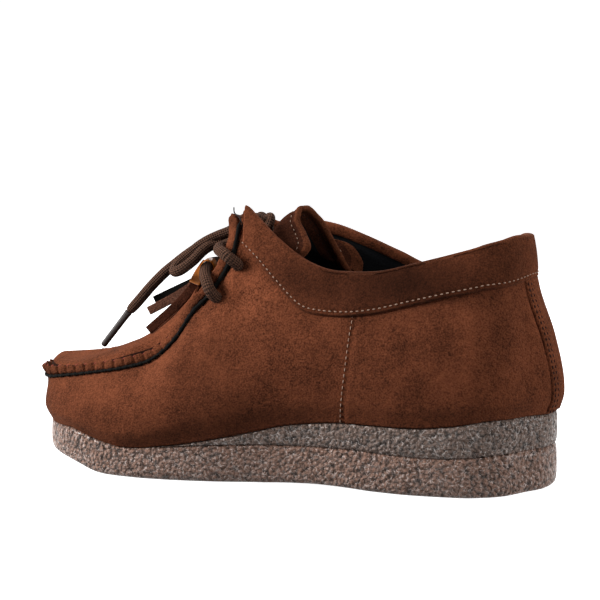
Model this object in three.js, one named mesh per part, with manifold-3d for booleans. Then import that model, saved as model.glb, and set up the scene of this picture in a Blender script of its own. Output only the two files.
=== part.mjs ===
// Moccasin-toe lace shoe in suede-look textile on a two-layer crepe sole (right shoe).
// Millimetres, +Z up, toe towards +X, inner (medial) side towards +Y.
// The last is described by upright cuts ("ribs"): each rib starts on the long axis at x0 and
// runs outwards at an angle from the toe direction, on the inner and on the outer side.

import * as THREE from 'three';
import { mergeVertices } from 'three/addons/utils/BufferGeometryUtils.js';
import Module from 'manifold-3d';

// Driving dimensions
const ORIGIN = { x: 127.3, y: -2.2 };
const GAP = 0.3;
const SEAT = 0.45;
const WALL = 2.0;
const WELT_INSET = 0.6;
const BAND_THICK = 1.2;
const STAY_THICK = 1.0;
const STAY_HALF_WIDTH = 13.5;
const EYELET_RADIUS = 3.0;
const LACE_RADIUS = 2.35;
const AGLET_RADIUS = 1.5;
const LACE_SIDES = 8;
const APRON_THICK = 1.8;
const TONGUE_THICK = 1.7;
const INSOLE_THICK = 3;
const WEDGE_END = 164;

const COLOUR = {
  suede: 0x5d2f22,
  suedeDark: 0x4a251b,
  lining: 0x161414,
  rubber: 0x6f5f57,
  lace: 0x4a3327,
  aglet: 0x453c3a,
  tab: 0xb8611c,
};

// The last

// Rows run from the heel's back (180 degrees) to the toe's tip (0 degrees).
const RIB = { x0: 0, angle: 1, solePlus: 2, soleMinus: 3 };
const RIBS = [
  [31, 180, 31, 31],
  [31, 157, 29.6, 29.7],
  [31, 135, 28.2, 28.6],
  [31, 112, 31.4, 30.8],
  [34, 90, 37, 34.4],
  [48, 90, 39.2, 36.4],
  [64, 90, 40, 37.2],
  [80, 90, 38.6, 37.5],
  [97, 90, 36.7, 38],
  [112, 90, 36, 39.6],
  [129, 90, 36.8, 42.2],
  [139, 90, 38.4, 44],
  [147, 90, 40.3, 45.4],
  [151, 90, 41.2, 46],
  [155, 90, 42, 46.6],
  [160, 90, 42.8, 47.3],
  [164, 90, 43.3, 47.8],
  [169, 90, 43.9, 48.3],
  [177, 90, 44.7, 48.9],
  [188, 89, 45.1, 48.8],
  [199, 84, 44.2, 47.3],
  [206, 66, 42.3, 44.6],
  [211, 50, 40.8, 42.2],
  [213, 36, 39.8, 40.5],
  [213, 18, 40.1, 40.3],
  [213, 0, 41, 41],
];

// Outer face of the upper on each rib, above the feather line: height and distance from the
// axis at the bulge, at mid height, high up, and at the top edge (topline, then apron seam).
const WALL_PLUS = [
  [44, 32.6, 69.5, 27.8, 92, 20.0, 116.0, 16.2],
  [44, 31.3, 69.5, 27.0, 92, 19.8, 116.2, 16.4],
  [44, 30.2, 69, 27.0, 92, 21.0, 116.2, 17.6],
  [44, 33.6, 68, 30.6, 91, 24.8, 115, 20.6],
  [44, 38.6, 66, 35.8, 88, 30.0, 112, 24.8],
  [43, 40.6, 64, 38.4, 85, 33.0, 107.8, 26.8],
  [42, 41.2, 62, 39.2, 82, 34.0, 103.6, 27.6],
  [42, 40.0, 61, 38.2, 79, 34.0, 99.8, 27.6],
  [42, 38.4, 60, 36.8, 78, 32.8, 99.2, 26.4],
  [41, 38.4, 60, 36.4, 80, 30.6, 102.6, 24.2],
  [39, 39.4, 60, 36.0, 84, 28.4, 113, 19.2],
  [37, 41.2, 60, 35.8, 87, 26.4, 121.4, 16.4],
  [36, 43.0, 60, 36.2, 90, 24.0, 126.2, 15.2],
  [35, 43.8, 58, 37.0, 82, 27.2, 107.6, 17.6],
  [34, 44.6, 55, 38.2, 76, 29.4, 98.3, 18.8],
  [33, 45.2, 52, 39.8, 71, 31.5, 90.0, 20.2],
  [32, 45.6, 49, 41.0, 67, 32.4, 84.7, 21.5],
  [30, 46.2, 46, 42.5, 62, 34.6, 79.6, 23.0],
  [27.5, 47.0, 40, 44.9, 53, 38.2, 66.5, 25.8],
  [24, 47.2, 33, 46.2, 43.5, 41.0, 55.4, 28.8],
  [23.4, 46.4, 31.5, 45.3, 40.5, 40.6, 50.8, 31.0],
  [26, 44.6, 33, 43.6, 40, 39.8, 47.4, 32.8],
  [27.6, 43.2, 33, 42.5, 38.6, 40.4, 45.0, 36.0],
  [28, 42.4, 33, 42.0, 38, 40.9, 43.4, 39.4],
  [28, 42.8, 32.4, 42.3, 37, 41.6, 42.4, 41.6],
  [28, 43.6, 32, 43.2, 37, 42.4, 42.0, 42.6],
];
const WALL_MINUS = [
  [44, 32.6, 69.5, 27.8, 92, 20.0, 116.0, 16.2],
  [44, 31.4, 69.5, 27.1, 92, 20.0, 115.8, 16.6],
  [44, 30.4, 69, 27.0, 92, 21.2, 115, 17.8],
  [43, 33.0, 67, 30.4, 88, 24.6, 111.6, 20.4],
  [42, 36.4, 64, 34.0, 83, 29.4, 105.4, 24.4],
  [41, 38.4, 61, 36.6, 79, 32.4, 98.6, 26.8],
  [41, 39.2, 60, 37.6, 78, 33.6, 97.8, 27.6],
  [41, 39.4, 60, 37.6, 81, 32.6, 104.2, 26.8],
  [41, 40.0, 60, 37.6, 85, 30.4, 111.8, 24.8],
  [40, 41.8, 60, 38.2, 86, 29.4, 117.4, 22.6],
  [39, 44.6, 60, 39.0, 88, 27.8, 119.6, 20.0],
  [37, 46.4, 60, 39.4, 90, 26.0, 118.2, 18.0],
  [36, 47.8, 60, 39.6, 90, 25.0, 121.6, 16.2],
  [35, 48.4, 58, 40.0, 82, 28.0, 107.6, 17.6],
  [34, 49.0, 55, 41.0, 76, 30.2, 98.3, 18.8],
  [33, 49.6, 52, 42.4, 71, 32.2, 90.0, 20.2],
  [32, 50.0, 49, 43.6, 67, 33.4, 84.7, 21.5],
  [30, 50.6, 46, 45.0, 62, 35.8, 79.6, 23.0],
  [27.5, 51.2, 40, 47.8, 53, 39.6, 66.5, 26.0],
  [24, 51.0, 33, 49.4, 43.5, 42.6, 55.4, 29.2],
  [23.4, 49.6, 31.5, 48.2, 40.5, 42.0, 50.8, 31.8],
  [26, 47.0, 33, 45.8, 40, 40.8, 47.4, 33.6],
  [27.6, 44.8, 33, 44.0, 38.6, 41.4, 45.0, 36.4],
  [28, 43.2, 33, 42.6, 38, 41.4, 43.4, 39.6],
  [28, 43.0, 32.4, 42.5, 37, 41.8, 42.4, 41.7],
  [28, 43.6, 32, 43.2, 37, 42.4, 42.0, 42.6],
];
const TIP_ROW = 12;
const APRON_ROW = 17;
const LAST_ROW = RIBS.length - 1;

// Heights along the axis: underside, line between the two sole layers, feather line, apron crown.
const UNDER = [[-2, 0], [78, 0], [92, 0.5], [106, 0.8], [120, 0.5], [134, 0], [207, 0], [218, 1],
  [224, 2.6], [233, 4.4], [247, 6], [256, 6.6]];
const LAYER = [[-2, 19.9], [14, 19.7], [24, 19.5], [35, 18.6], [50, 17.7], [73, 18.1], [90, 18.8],
  [114, 18.6], [136, 18.2], [160, 17.6], [181, 16], [192, 14.6], [200, 14.4], [210, 15.8],
  [220, 18.1], [231, 20.2], [243, 19.8], [256, 19]];
const FEATHER = [[-2, 34.4], [12, 35.3], [27, 35.1], [43, 32.6], [60, 30.9], [73, 30.7], [92, 30.7],
  [110, 29.3], [123, 27.4], [136, 24.3], [148, 21.7], [160, 19.3], [172, 17.2], [181, 16],
  [192, 14.6], [200, 14.4], [210, 15.8], [220, 18.1], [231, 20.2], [243, 19.8], [256, 19]];
const CROWN = [[160, 103], [169, 94], [176, 87], [182, 80], [188, 73.6], [193, 68.4],
  [199, 63.8], [206, 59.8], [213, 57.4]];

// Lower edge of the collar band, by rib row: height on the inner and on the outer side.
const BAND_ROWS = [[97, 97], [96.8, 96.8], [96, 96], [94.6, 93.5], [92.8, 90], [89.6, 84.5],
  [85.6, 82.6], [81.5, 86.6], [79.6, 92], [80.6, 96.4], [93.2, 101], [102.8, 104], [109.4, 107]];

// Curves

// Smooth curve through points (xs, ys) that never swings past them.
function smooth(xs, ys, x) {
  const last = ys.length - 1;
  const clamped = Math.min(Math.max(x, xs[0]), xs[last]);
  let i = 0;
  while (i < last - 1 && clamped > xs[i + 1]) {
    i += 1;
  }
  const slope = (k) => (ys[k + 1] - ys[k]) / (xs[k + 1] - xs[k]);
  const tangent = (k) => {
    if (k === 0) return slope(0);
    if (k === last) return slope(last - 1);
    const before = slope(k - 1);
    const after = slope(k);
    if (before * after <= 0) return 0;
    const wBefore = xs[k + 1] - xs[k];
    const wAfter = xs[k] - xs[k - 1];
    const mean = (before * wBefore + after * wAfter) / (wBefore + wAfter);
    return Math.sign(mean) * Math.min(Math.abs(mean), 3 * Math.abs(before), 3 * Math.abs(after));
  };
  const h = xs[i + 1] - xs[i];
  const t = (clamped - xs[i]) / h;
  const a = (1 + 2 * t) * (1 - t) ** 2;
  const b = t * (1 - t) ** 2;
  const c = t * t * (3 - 2 * t);
  const d = t * t * (t - 1);
  return a * ys[i] + b * h * tangent(i) + c * ys[i + 1] + d * h * tangent(i + 1);
}

const column = (table, k) => table.map((row) => row[k]);
const profile = (table) => {
  const xs = column(table, 0);
  const ys = column(table, 1);
  return (x) => smooth(xs, ys, x);
};
const underZ = profile(UNDER);
const layerZ = profile(LAYER);
const featherZ = profile(FEATHER);
const crownZ = profile(CROWN);

// Rib position q: distance walked along a mean outline, so that unequal rows stay even.
const ribAt = RIBS.reduce((list, row, k) => {
  if (k === 0) return [0];
  const [xa, aa] = RIBS[k - 1];
  const turn = 36 * THREE.MathUtils.degToRad(Math.abs(row[RIB.angle] - aa));
  return [...list, list[k - 1] + Math.hypot(row[RIB.x0] - xa, turn)];
}, []);
const read = (table, k, q) => smooth(ribAt, column(table, k), q);

// One upright direction: side is +1 on the inner side and -1 on the outer side.
function ribFrame(q, side) {
  const angle = THREE.MathUtils.degToRad(read(RIBS, RIB.angle, q));
  return {
    x0: read(RIBS, RIB.x0, q),
    out: new THREE.Vector3(Math.cos(angle), side * Math.sin(angle), 0),
  };
}

function soleRadius(q, side) {
  return read(RIBS, side > 0 ? RIB.solePlus : RIB.soleMinus, q);
}

function onRib(q, side, radius, height) {
  const { x0, out } = ribFrame(q, side);
  return new THREE.Vector3(x0 + out.x * radius, out.y * radius, height);
}

// Outer face of the upper: v = 0 at the feather line, 1 at the top edge.
function wallPoint(q, side, v) {
  const table = side > 0 ? WALL_PLUS : WALL_MINUS;
  const footRadius = soleRadius(q, side) - WELT_INSET;
  const { x0, out } = ribFrame(q, side);
  const footZ = featherZ(x0 + out.x * footRadius) + SEAT;
  const heights = [footZ, read(table, 0, q), read(table, 2, q), read(table, 4, q), read(table, 6, q)];
  const radii = [footRadius, read(table, 1, q), read(table, 3, q), read(table, 5, q), read(table, 7, q)];
  const height = footZ + (heights[4] - footZ) * v;
  return new THREE.Vector3(x0, 0, height).addScaledVector(out, smooth(heights, radii, height));
}

function wallNormal(q, side, v) {
  const step = 0.4;
  const q0 = Math.max(q - step, 0);
  const q1 = Math.min(q + step, ribAt[LAST_ROW]);
  const v0 = Math.max(v - 0.01, 0);
  const v1 = Math.min(v + 0.01, 1);
  const along = wallPoint(q1, side, v).sub(wallPoint(q0, side, v));
  if (q0 === 0 || q1 === ribAt[LAST_ROW]) {
    along.set(0, along.y, 0);
  }
  const up = wallPoint(q, side, v1).sub(wallPoint(q, side, v0));
  return up.cross(along).multiplyScalar(side).normalize();
}

function wallOffset(q, side, v, distance) {
  return wallPoint(q, side, v).addScaledVector(wallNormal(q, side, v), distance);
}

// Share of the wall's height at which it stands at a given level.
function wallShare(q, side, height) {
  const foot = wallPoint(q, side, 0).z;
  const top = wallPoint(q, side, 1).z;
  return THREE.MathUtils.clamp((height - foot) / (top - foot), 0, 1);
}

// Closed skins

// Collects faces over shared points; a face whose points fall together is left out.
class Skin {
  constructor() {
    this.index = new Map();
    this.points = [];
    this.faces = [];
  }

  point(p) {
    const key = [p.x, p.y, p.z].map((c) => Math.round(c * 500)).join();
    if (!this.index.has(key)) {
      this.index.set(key, this.points.length / 3);
      this.points.push(p.x, p.y, p.z);
    }
    return this.index.get(key);
  }

  face(a, b, c) {
    const ids = [a, b, c].map((p) => this.point(p));
    if (new Set(ids).size === 3) {
      this.faces.push(...ids);
    }
  }

  grid(rows, wrap = false, turned = false) {
    const turns = wrap ? rows.length : rows.length - 1;
    for (let i = 0; i < turns; i += 1) {
      const here = rows[i];
      const next = rows[(i + 1) % rows.length];
      for (let j = 0; j < here.length - 1; j += 1) {
        const [left, right] = turned ? [here[j + 1], next[j]] : [next[j], here[j + 1]];
        this.face(here[j], left, next[j + 1]);
        this.face(here[j], next[j + 1], right);
      }
    }
    return this;
  }

  // Fills a ring whose points pair up across it, first with last.
  cap(ring) {
    for (let i = 1, j = ring.length - 1; i < j; i += 1, j -= 1) {
      this.face(ring[i - 1], ring[i], ring[j]);
      this.face(ring[i - 1], ring[j], ring[(j + 1) % ring.length]);
      if (j - i === 2) {
        this.face(ring[i], ring[i + 1], ring[j]);
      }
    }
    return this;
  }

  ends(sections) {
    const [first, ...others] = sections[sections.length - 1];
    return this.cap(sections[0]).cap([first, ...others.reverse()]);
  }

  geometry() {
    const geometry = new THREE.BufferGeometry();
    geometry.setAttribute('position', new THREE.Float32BufferAttribute(this.points, 3));
    geometry.setIndex(this.faces);
    return volume(geometry) < 0 ? flipped(geometry) : geometry;
  }
}

function volume(geometry) {
  const p = geometry.attributes.position;
  const ids = geometry.index.array;
  const [a, b, c] = [new THREE.Vector3(), new THREE.Vector3(), new THREE.Vector3()];
  let sum = 0;
  for (let i = 0; i < ids.length; i += 3) {
    a.fromBufferAttribute(p, ids[i]);
    b.fromBufferAttribute(p, ids[i + 1]);
    c.fromBufferAttribute(p, ids[i + 2]);
    sum += a.dot(b.cross(c));
  }
  return sum / 6;
}

function flipped(geometry) {
  const ids = Array.from(geometry.index.array);
  for (let i = 0; i < ids.length; i += 3) {
    [ids[i], ids[i + 1]] = [ids[i + 1], ids[i]];
  }
  geometry.setIndex(ids);
  return geometry;
}

// Rings of points joined one to the next; an open run is capped at both ends.
function sweep(sections, closed) {
  const skin = new Skin().grid(sections.map((ring) => [...ring, ring[0]]), closed);
  return (closed ? skin : skin.ends(sections)).geometry();
}

// Rib positions from row to row, each interval cut into a number of steps.
function positions(from, to, steps) {
  const list = [];
  for (let row = from; row < to; row += 1) {
    for (let k = 0; k < steps; k += 1) {
      list.push(THREE.MathUtils.lerp(ribAt[row], ribAt[row + 1], k / steps));
    }
  }
  return [...list, ribAt[to]];
}

// Stations round the whole shoe: heel, inner side, toe, outer side and back to the heel.
function around(steps) {
  const half = positions(0, LAST_ROW, steps);
  const plus = half.slice(0, -1).map((q) => [q, 1]);
  const minus = half.slice(1).reverse().map((q) => [q, -1]);
  return [...plus, ...minus];
}

// Stations from one row on the inner side round the toe to the same row on the outer side.
function roundToe(row, steps) {
  const half = positions(row, LAST_ROW, steps);
  return [...half.map((q) => [q, 1]), ...half.slice(0, -1).reverse().map((q) => [q, -1])];
}

// Stations from one row on the inner side round the heel to the same row on the outer side.
function roundHeel(row, steps) {
  const half = positions(0, row, steps);
  return [...half.slice(1).reverse().map((q) => [q, 1]), ...half.map((q) => [q, -1])];
}

// Sole

// Slab between two height functions, with a list of [distance inside the outline, share of height].
// The flat faces of all slabs share the same inner rings, so that they lie evenly on each other.
function slab(stations, inset, edge, bottomOf, topOf, closed) {
  const shares = [0, 0.6, 1];
  const sections = stations.map(([q, side]) => {
    const full = soleRadius(q, side) - inset;
    const field = soleRadius(q, side) - 4.2;
    const at = (radius, share) => {
      const p = onRib(q, side, radius, 0);
      p.z = THREE.MathUtils.lerp(bottomOf(p.x), topOf(p.x), share);
      return p;
    };
    const under = shares.map((s) => at(field * s, 0));
    const rim = edge.map(([inside, share]) => at(full - inside, share));
    const over = shares.map((s) => at(field * s, 1));
    return { under, rim: [under[shares.length - 1], ...rim, over[shares.length - 1]], over };
  });
  const skin = new Skin()
    .grid(sections.map((s) => s.under), closed)
    .grid(sections.map((s) => s.rim), closed)
    .grid(sections.map((s) => s.over), closed, true);
  if (!closed) {
    skin.ends(sections.map((s) => [...s.under, ...s.rim.slice(1, -1), ...s.over.slice().reverse()]));
  }
  return skin.geometry();
}

const outsoleTop = (x) => (x > WEDGE_END + 2 ? featherZ(x) : layerZ(x));
const outsole = slab(
  around(1),
  0,
  [[3.2, 0], [0.8, 0.12], [0, 0.4], [0.3, 0.8], [0.7, 1]],
  underZ,
  outsoleTop,
  true,
);
const wedgeRow = RIBS.findIndex((row) => row[RIB.x0] === WEDGE_END);
const wedge = slab(
  roundHeel(wedgeRow, 1),
  0.2,
  [[0.5, 0], [0, 0.3], [0.1, 0.7], [0.4, 1]],
  (x) => layerZ(x) + GAP,
  featherZ,
  false,
);
const insole = slab(
  around(1),
  WELT_INSET + WALL + 0.7,
  [[0, 0], [0, 0.7], [0.8, 1]],
  (x) => featherZ(x) + SEAT,
  (x) => featherZ(x) + SEAT + INSOLE_THICK,
  true,
);

// Upper
const wallLevels = [0, 0.11, 0.25, 0.43, 0.62, 0.81, 1];
const upperSections = around(2).map(([q, side]) => {
  const outer = wallLevels.map((v) => wallPoint(q, side, v));
  const inner = wallLevels.map((v) => wallOffset(q, side, v, -WALL));
  inner[0].z = featherZ(inner[0].x) + SEAT;
  return [...outer, ...inner.reverse()];
});

// Round holes for the lace, cut straight through the wall along its own normal.
const wasm = await Module();
wasm.setup();

function toManifold(geometry) {
  const mesh = new wasm.Mesh({
    numProp: 3,
    vertProperties: Float32Array.from(geometry.attributes.position.array),
    triVerts: Uint32Array.from(geometry.index.array),
  });
  mesh.merge();
  return new wasm.Manifold(mesh);
}

function fromManifold(solid) {
  const { vertProperties, triVerts } = solid.getMesh();
  const geometry = new THREE.BufferGeometry();
  geometry.setAttribute('position', new THREE.Float32BufferAttribute(vertProperties, 3));
  geometry.setIndex(Array.from(triVerts));
  return geometry;
}

// Position q on the straight part of the last that lies at a given x.
function atX(x) {
  let row = 4;
  while (RIBS[row + 1][RIB.x0] < x) {
    row += 1;
  }
  const [a, b] = [RIBS[row][RIB.x0], RIBS[row + 1][RIB.x0]];
  return THREE.MathUtils.mapLinear(x, a, b, ribAt[row], ribAt[row + 1]);
}

const EYELETS = [[148.6, 100.6], [158.2, 85]];
function eyelet([x, height], side) {
  const q = atX(x);
  const v = wallShare(q, side, height);
  return { q, centre: wallPoint(q, side, v), normal: wallNormal(q, side, v) };
}

function drill({ centre, normal }) {
  const tool = new THREE.CylinderGeometry(EYELET_RADIUS, EYELET_RADIUS, 9, 12);
  tool.deleteAttribute('normal');
  tool.deleteAttribute('uv');
  const whole = mergeVertices(tool);
  const turn = new THREE.Quaternion().setFromUnitVectors(new THREE.Vector3(0, 1, 0), normal);
  whole.applyQuaternion(turn).translate(centre.x, centre.y, centre.z);
  return toManifold(whole);
}

const holes = [1, -1].flatMap((side) => EYELETS.map((place) => drill(eyelet(place, side))));
const upper = fromManifold(holes.reduce(
  (solid, hole) => solid.subtract(hole),
  toManifold(sweep(upperSections, true)),
));

// Collar band and heel stay
const bandZ = (q, side) => read(BAND_ROWS, side > 0 ? 0 : 1, q);
const bandEnd = ribAt[TIP_ROW] - 2.6;
const bandSections = roundHeel(TIP_ROW, 2).map(([station, side]) => {
  const q = Math.min(station, bandEnd);
  const low = wallShare(q, side, bandZ(q, side));
  const levels = [0, 0.33, 0.67, 1].map((t) => THREE.MathUtils.lerp(low, 1, t));
  const inner = levels.map((v) => wallOffset(q, side, v, SEAT));
  const outer = levels.map((v) => wallOffset(q, side, v, SEAT + BAND_THICK));
  return [...inner, ...outer.reverse()];
});

// The stay keeps its width down the heel: its reach in q grows as the heel gets narrower.
const stayLevels = [0.03, 0.1, 0.22, 0.3, 0.38, 0.46, 0.55, 0.62, 0.7, 0.75];
const staySections = [-1, -0.75, -0.5, -0.25, 0, 0.25, 0.5, 0.75, 1].map((share) => {
  const side = share < 0 ? -1 : 1;
  const at = (v, distance) => {
    const radius = 31 - wallPoint(0, 1, v).x;
    return wallOffset(36 * Math.abs(share) * STAY_HALF_WIDTH / radius, side, v, distance);
  };
  const inner = stayLevels.map((v) => at(v, SEAT));
  const outer = stayLevels.map((v) => at(v, SEAT + STAY_THICK));
  return [...inner, ...outer.reverse()];
});

// Seam round the apron

// Frame of the upper's top edge: face is the wall's outward normal, beyond points off the edge.
function seamFrame(q, side) {
  const first = ribAt[TIP_ROW];
  const last = ribAt[LAST_ROW];
  const ahead = wallPoint(Math.min(q + 1.5, last), side, 1);
  const run = ahead.sub(wallPoint(Math.max(q - 1.5, first), side, 1));
  if (q === last) {
    run.set(0, side, 0);
  }
  const edge = wallPoint(q, side, 1);
  const face = wallNormal(q, side, 1);
  const beyond = run.cross(face).normalize();
  if (beyond.dot(edge.clone().sub(wallPoint(q, side, 0.9))) < 0) {
    beyond.negate();
  }
  const lip = beyond.clone().addScaledVector(ribFrame(q, side).out, 0.45).normalize();
  return { edge, face, beyond, lip };
}

const offEdge = ({ edge, face }, along, alongFace, distance) => (
  edge.clone().addScaledVector(face, alongFace).addScaledVector(along, distance)
);

const LIP_SECTION = [[-1.7, 0.35], [1.5, 0.35], [1.6, 2.9], [1, 3.8], [-1.2, 3.8], [-1.7, 3.2]];
const EDGE_SECTION = [[0.35, -1.7], [1.5, -1.9], [1.9, -0.15], [0.35, -0.15]];
const seamStart = ribAt[TIP_ROW] + 1.1;
const seam = roundToe(TIP_ROW, 2).map(([q, side]) => seamFrame(Math.max(q, seamStart), side));
const lipSections = seam.map((frame) => LIP_SECTION.map(([a, b]) => offEdge(frame, frame.lip, a, b)));
const edgeSections = seam.map((frame) => EDGE_SECTION.map(([a, b]) => offEdge(frame, frame.beyond, a, b)));

// Apron

// A raised piece inside the lip: upright side wall, rounded shoulder, then a dome to the axis.
const APRON_SIDE = 8.5;
const CORNER_DROP = 2.8;
const domeShares = [0, 0.3, 0.55, 0.75, 0.9, 0.97];
const apronSections = roundToe(APRON_ROW, 2).map(([q, side]) => {
  const frame = seamFrame(q, side);
  const { x0, out } = ribFrame(q, side);
  const rise = frame.beyond.clone().add(new THREE.Vector3(0, 0, 1)).normalize();
  const foot = offEdge(frame, frame.lip, -2.3, 0.4);
  const height = APRON_SIDE - CORNER_DROP * Math.abs(2 * out.x * out.y);
  const shoulder = foot.clone().addScaledVector(rise, height);
  const bend = 0.5 + 1.5 * Math.abs(Math.sin(Math.atan2(out.y, out.x))) ** 4;
  const spine = new THREE.Vector3(x0, 0, 0);
  const dome = domeShares.map((s) => {
    const p = spine.clone().lerp(shoulder, s);
    p.z = shoulder.z + (crownZ(x0) - shoulder.z) * (1 - s ** bend);
    return p;
  });
  const wall = [0.88, 0.55, 0].map((t) => foot.clone().lerp(shoulder, t));
  const top = [...dome, ...wall];
  const inward = [0, 0, 0, 0, 0.1, 0.4, 0.9, 1, 1];
  const under = top.map((p, k) => p.clone()
    .addScaledVector(out, -inward[k] * APRON_THICK)
    .add(new THREE.Vector3(0, 0, -1.35 * (1 - inward[k]) * APRON_THICK)));
  return { top, under, rim: [top[8], under[8]] };
});
const apron = new Skin()
  .grid(apronSections.map((s) => s.top))
  .grid(apronSections.map((s) => s.rim))
  .grid(apronSections.map((s) => s.under), false, true)
  .ends(apronSections.map((s) => [...s.top, ...s.under.slice().reverse()]))
  .geometry();

// Tongue

// Arched rows under the lace: x, crown height, half width, drop to the sides.
const TONGUE_ROWS = [
  [168.2, 94.4, 18.6, 14],
  [159, 101.8, 16.6, 13],
  [150, 107.4, 15.6, 12],
  [142, 111.2, 15, 10],
  [136, 114.6, 15, 9],
];
// Folded top edge from the inner side over the peak into the fold on the outer side.
const TONGUE_EDGE = [
  [121, 14.5, 101.5],
  [115.4, 13.6, 109],
  [119.1, 9, 115.7],
  [122.4, 5.5, 121.1],
  [122.8, 1.5, 127.2],
  [117.6, -2, 124.3],
  [113.2, -6, 119],
  [109.7, -10, 110.6],
  [106.1, -14, 102],
  [102.7, -17, 94.9],
  [99.5, -19.2, 92.8],
  [98, -21, 98],
  [103, -21.2, 106.5],
  [111.5, -20.6, 110],
];

function tongueMiddle(across, along) {
  const reach = along * TONGUE_ROWS.length;
  const ks = TONGUE_ROWS.map((row, k) => k);
  const at = Math.min(reach, TONGUE_ROWS.length - 1);
  const [x, crown, half, drop] = [0, 1, 2, 3].map((c) => smooth(ks, column(TONGUE_ROWS, c), at));
  const share = 1 - 2 * across;
  const arch = new THREE.Vector3(x, half * share, crown - drop * Math.abs(share) ** 2.2);
  const places = TONGUE_EDGE.map((row, k) => k / (TONGUE_EDGE.length - 1));
  const top = new THREE.Vector3(...[0, 1, 2].map((c) => smooth(places, column(TONGUE_EDGE, c), across)));
  return arch.lerp(top, Math.max(reach - at, 0));
}

function tonguePoint(across, along, distance) {
  const d = 0.01;
  const a = tongueMiddle(Math.min(across + d, 1), along).sub(tongueMiddle(Math.max(across - d, 0), along));
  const b = tongueMiddle(across, Math.min(along + d, 1)).sub(tongueMiddle(across, Math.max(along - d, 0)));
  return tongueMiddle(across, along).addScaledVector(a.cross(b).normalize(), distance);
}

const tongueSections = Array.from({ length: 25 }, (_, k) => {
  const across = k / 24;
  const alongs = [0, 0.2, 0.4, 0.6, 0.8, 0.9, 1];
  const outer = alongs.map((t) => tonguePoint(across, t, TONGUE_THICK / 2));
  const inner = alongs.map((t) => tonguePoint(across, t, -TONGUE_THICK / 2));
  return [...outer, ...inner.reverse()];
});

// Lace

// Tube along a smooth curve through the points, as one closed solid.
function tube(points, radius, steps) {
  const section = new THREE.Shape();
  section.absarc(0, 0, radius, 0, 2 * Math.PI);
  const geometry = new THREE.ExtrudeGeometry(section, {
    steps,
    curveSegments: LACE_SIDES / 2,
    bevelEnabled: false,
    extrudePath: new THREE.CatmullRomCurve3(points, false, 'centripetal'),
  });
  return closed(geometry);
}

function closed(geometry) {
  geometry.deleteAttribute('normal');
  geometry.deleteAttribute('uv');
  const whole = mergeVertices(geometry, 1e-3);
  return volume(whole) < 0 ? flipped(whole) : whole;
}

const toPoints = (list) => list.map((p) => new THREE.Vector3(...p));
const mirrored = (list) => list.map(([x, y, z]) => [x, -y, z]);

// Fixed strands: out of an eyelet's mouth, over the lip and into the throat.
const LOWER_BAR_HALF = [
  [158.4, 27, 85.6], [161, 27.8, 88.6], [163.8, 26.6, 91.4], [166.2, 23, 93.2],
  [167.4, 17.6, 95.2], [167.8, 11.6, 97.4], [168, 5.8, 98.6],
];
const UPPER_STRAND = [
  [149, 23.6, 101.4], [151.8, 24.4, 104.2], [156, 22.4, 106.4], [160.2, 18.4, 107.4],
  [161.4, 13.8, 107.8], [158.6, 11.2, 108.6], [154, 10.2, 110.4], [149.8, 8.6, 112.4],
];
const lowerBar = toPoints([...LOWER_BAR_HALF, [168.1, 0, 99], ...mirrored(LOWER_BAR_HALF).reverse()]);

// Knot and free routes, from the knot outwards.
const KNOT = { centre: [143.2, -1, 118.5], half: [7.5, 9.8, 5.6] };
const NEAR_END = [
  [151, -0.6, 117.6], [155.4, 0, 115.6], [159.7, 1, 113.6], [164.4, 2, 111.7], [169.1, 3, 109.5],
  [173.6, 4, 107.2], [177.9, 5, 104.4], [182.2, 6, 101.2], [186.1, 7, 98], [190, 8, 94.8],
  [194, 8.5, 91], [198.3, 9, 86.5], [201.1, 9.5, 83.2], [204.1, 10, 79.7], [208.8, 10.5, 74.6],
];
const NEAR_AGLET = [[209.4, 10.5, 73.8], [222.3, 11, 57.8]];
const NEAR_LOOP = [
  [151, 4.6, 118.6], [154.6, 5.2, 116.8], [158, 5.8, 114.9], [162.7, 6.8, 113], [167.4, 8, 110.8],
  [171.9, 9, 108], [175.3, 9.8, 105.2], [178.7, 10.8, 102.2], [181.4, 12.2, 99.5],
  [182.6, 14.6, 97.2], [181.6, 17.4, 96], [178.6, 18.8, 96.8], [175.4, 18, 99], [172.4, 15.8, 101.8],
  [169.6, 12.6, 105.4], [166.6, 9.6, 107.9], [163.4, 7.2, 108.9], [160.2, 5.4, 109.4],
  [156.8, 4.4, 110.8], [153, 3.8, 112.2], [150, 3.4, 113.4],
];
const FAR_END = [
  [150.9, -5, 121.4], [154.6, -5, 119.9], [157.4, -5.8, 117], [160, -7.2, 114],
  [163, -9.4, 111.6], [166.2, -12.2, 108.9], [168.6, -16.8, 105.2], [170, -21.6, 101.4],
  [170.8, -25.4, 95.4], [171.1, -27.6, 89.6], [171.4, -29.4, 83.6], [171.6, -31.6, 77.4],
  [171.8, -34.6, 71.6], [172, -36.2, 68.8], [172.2, -38, 66],
];
const FAR_AGLET = [[172.3, -38.3, 65.5], [174.6, -47.2, 46.8]];
const FAR_LOOP = [
  [150.8, -5.3, 115.9], [153.6, -8.3, 116], [156.2, -11.6, 114.8], [159, -14.8, 113.3],
  [161.8, -19, 112], [164, -23.8, 108.2], [165.2, -28, 101.8], [165.6, -30.9, 95],
  [165.6, -32.6, 87.8], [165, -33.8, 80.6], [163.8, -36, 74.8], [161.4, -38.4, 70],
  [158, -39.4, 68.4], [155, -38.2, 70.4], [153.6, -35.6, 75.4], [153.2, -32.6, 81.2],
  [153.2, -30.4, 87.4], [153.4, -29.2, 93.6], [154, -29.2, 100], [155.2, -28.9, 106.6],
  [157.2, -25.2, 111.8], [158, -19.8, 115.6], [156.4, -14.6, 118.6], [153.6, -11.8, 120],
  [150.6, -9.8, 120.4],
];

const knot = closed(new THREE.SphereGeometry(1, 10, 7));
knot.scale(...KNOT.half).translate(...KNOT.centre);

// Fob

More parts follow.
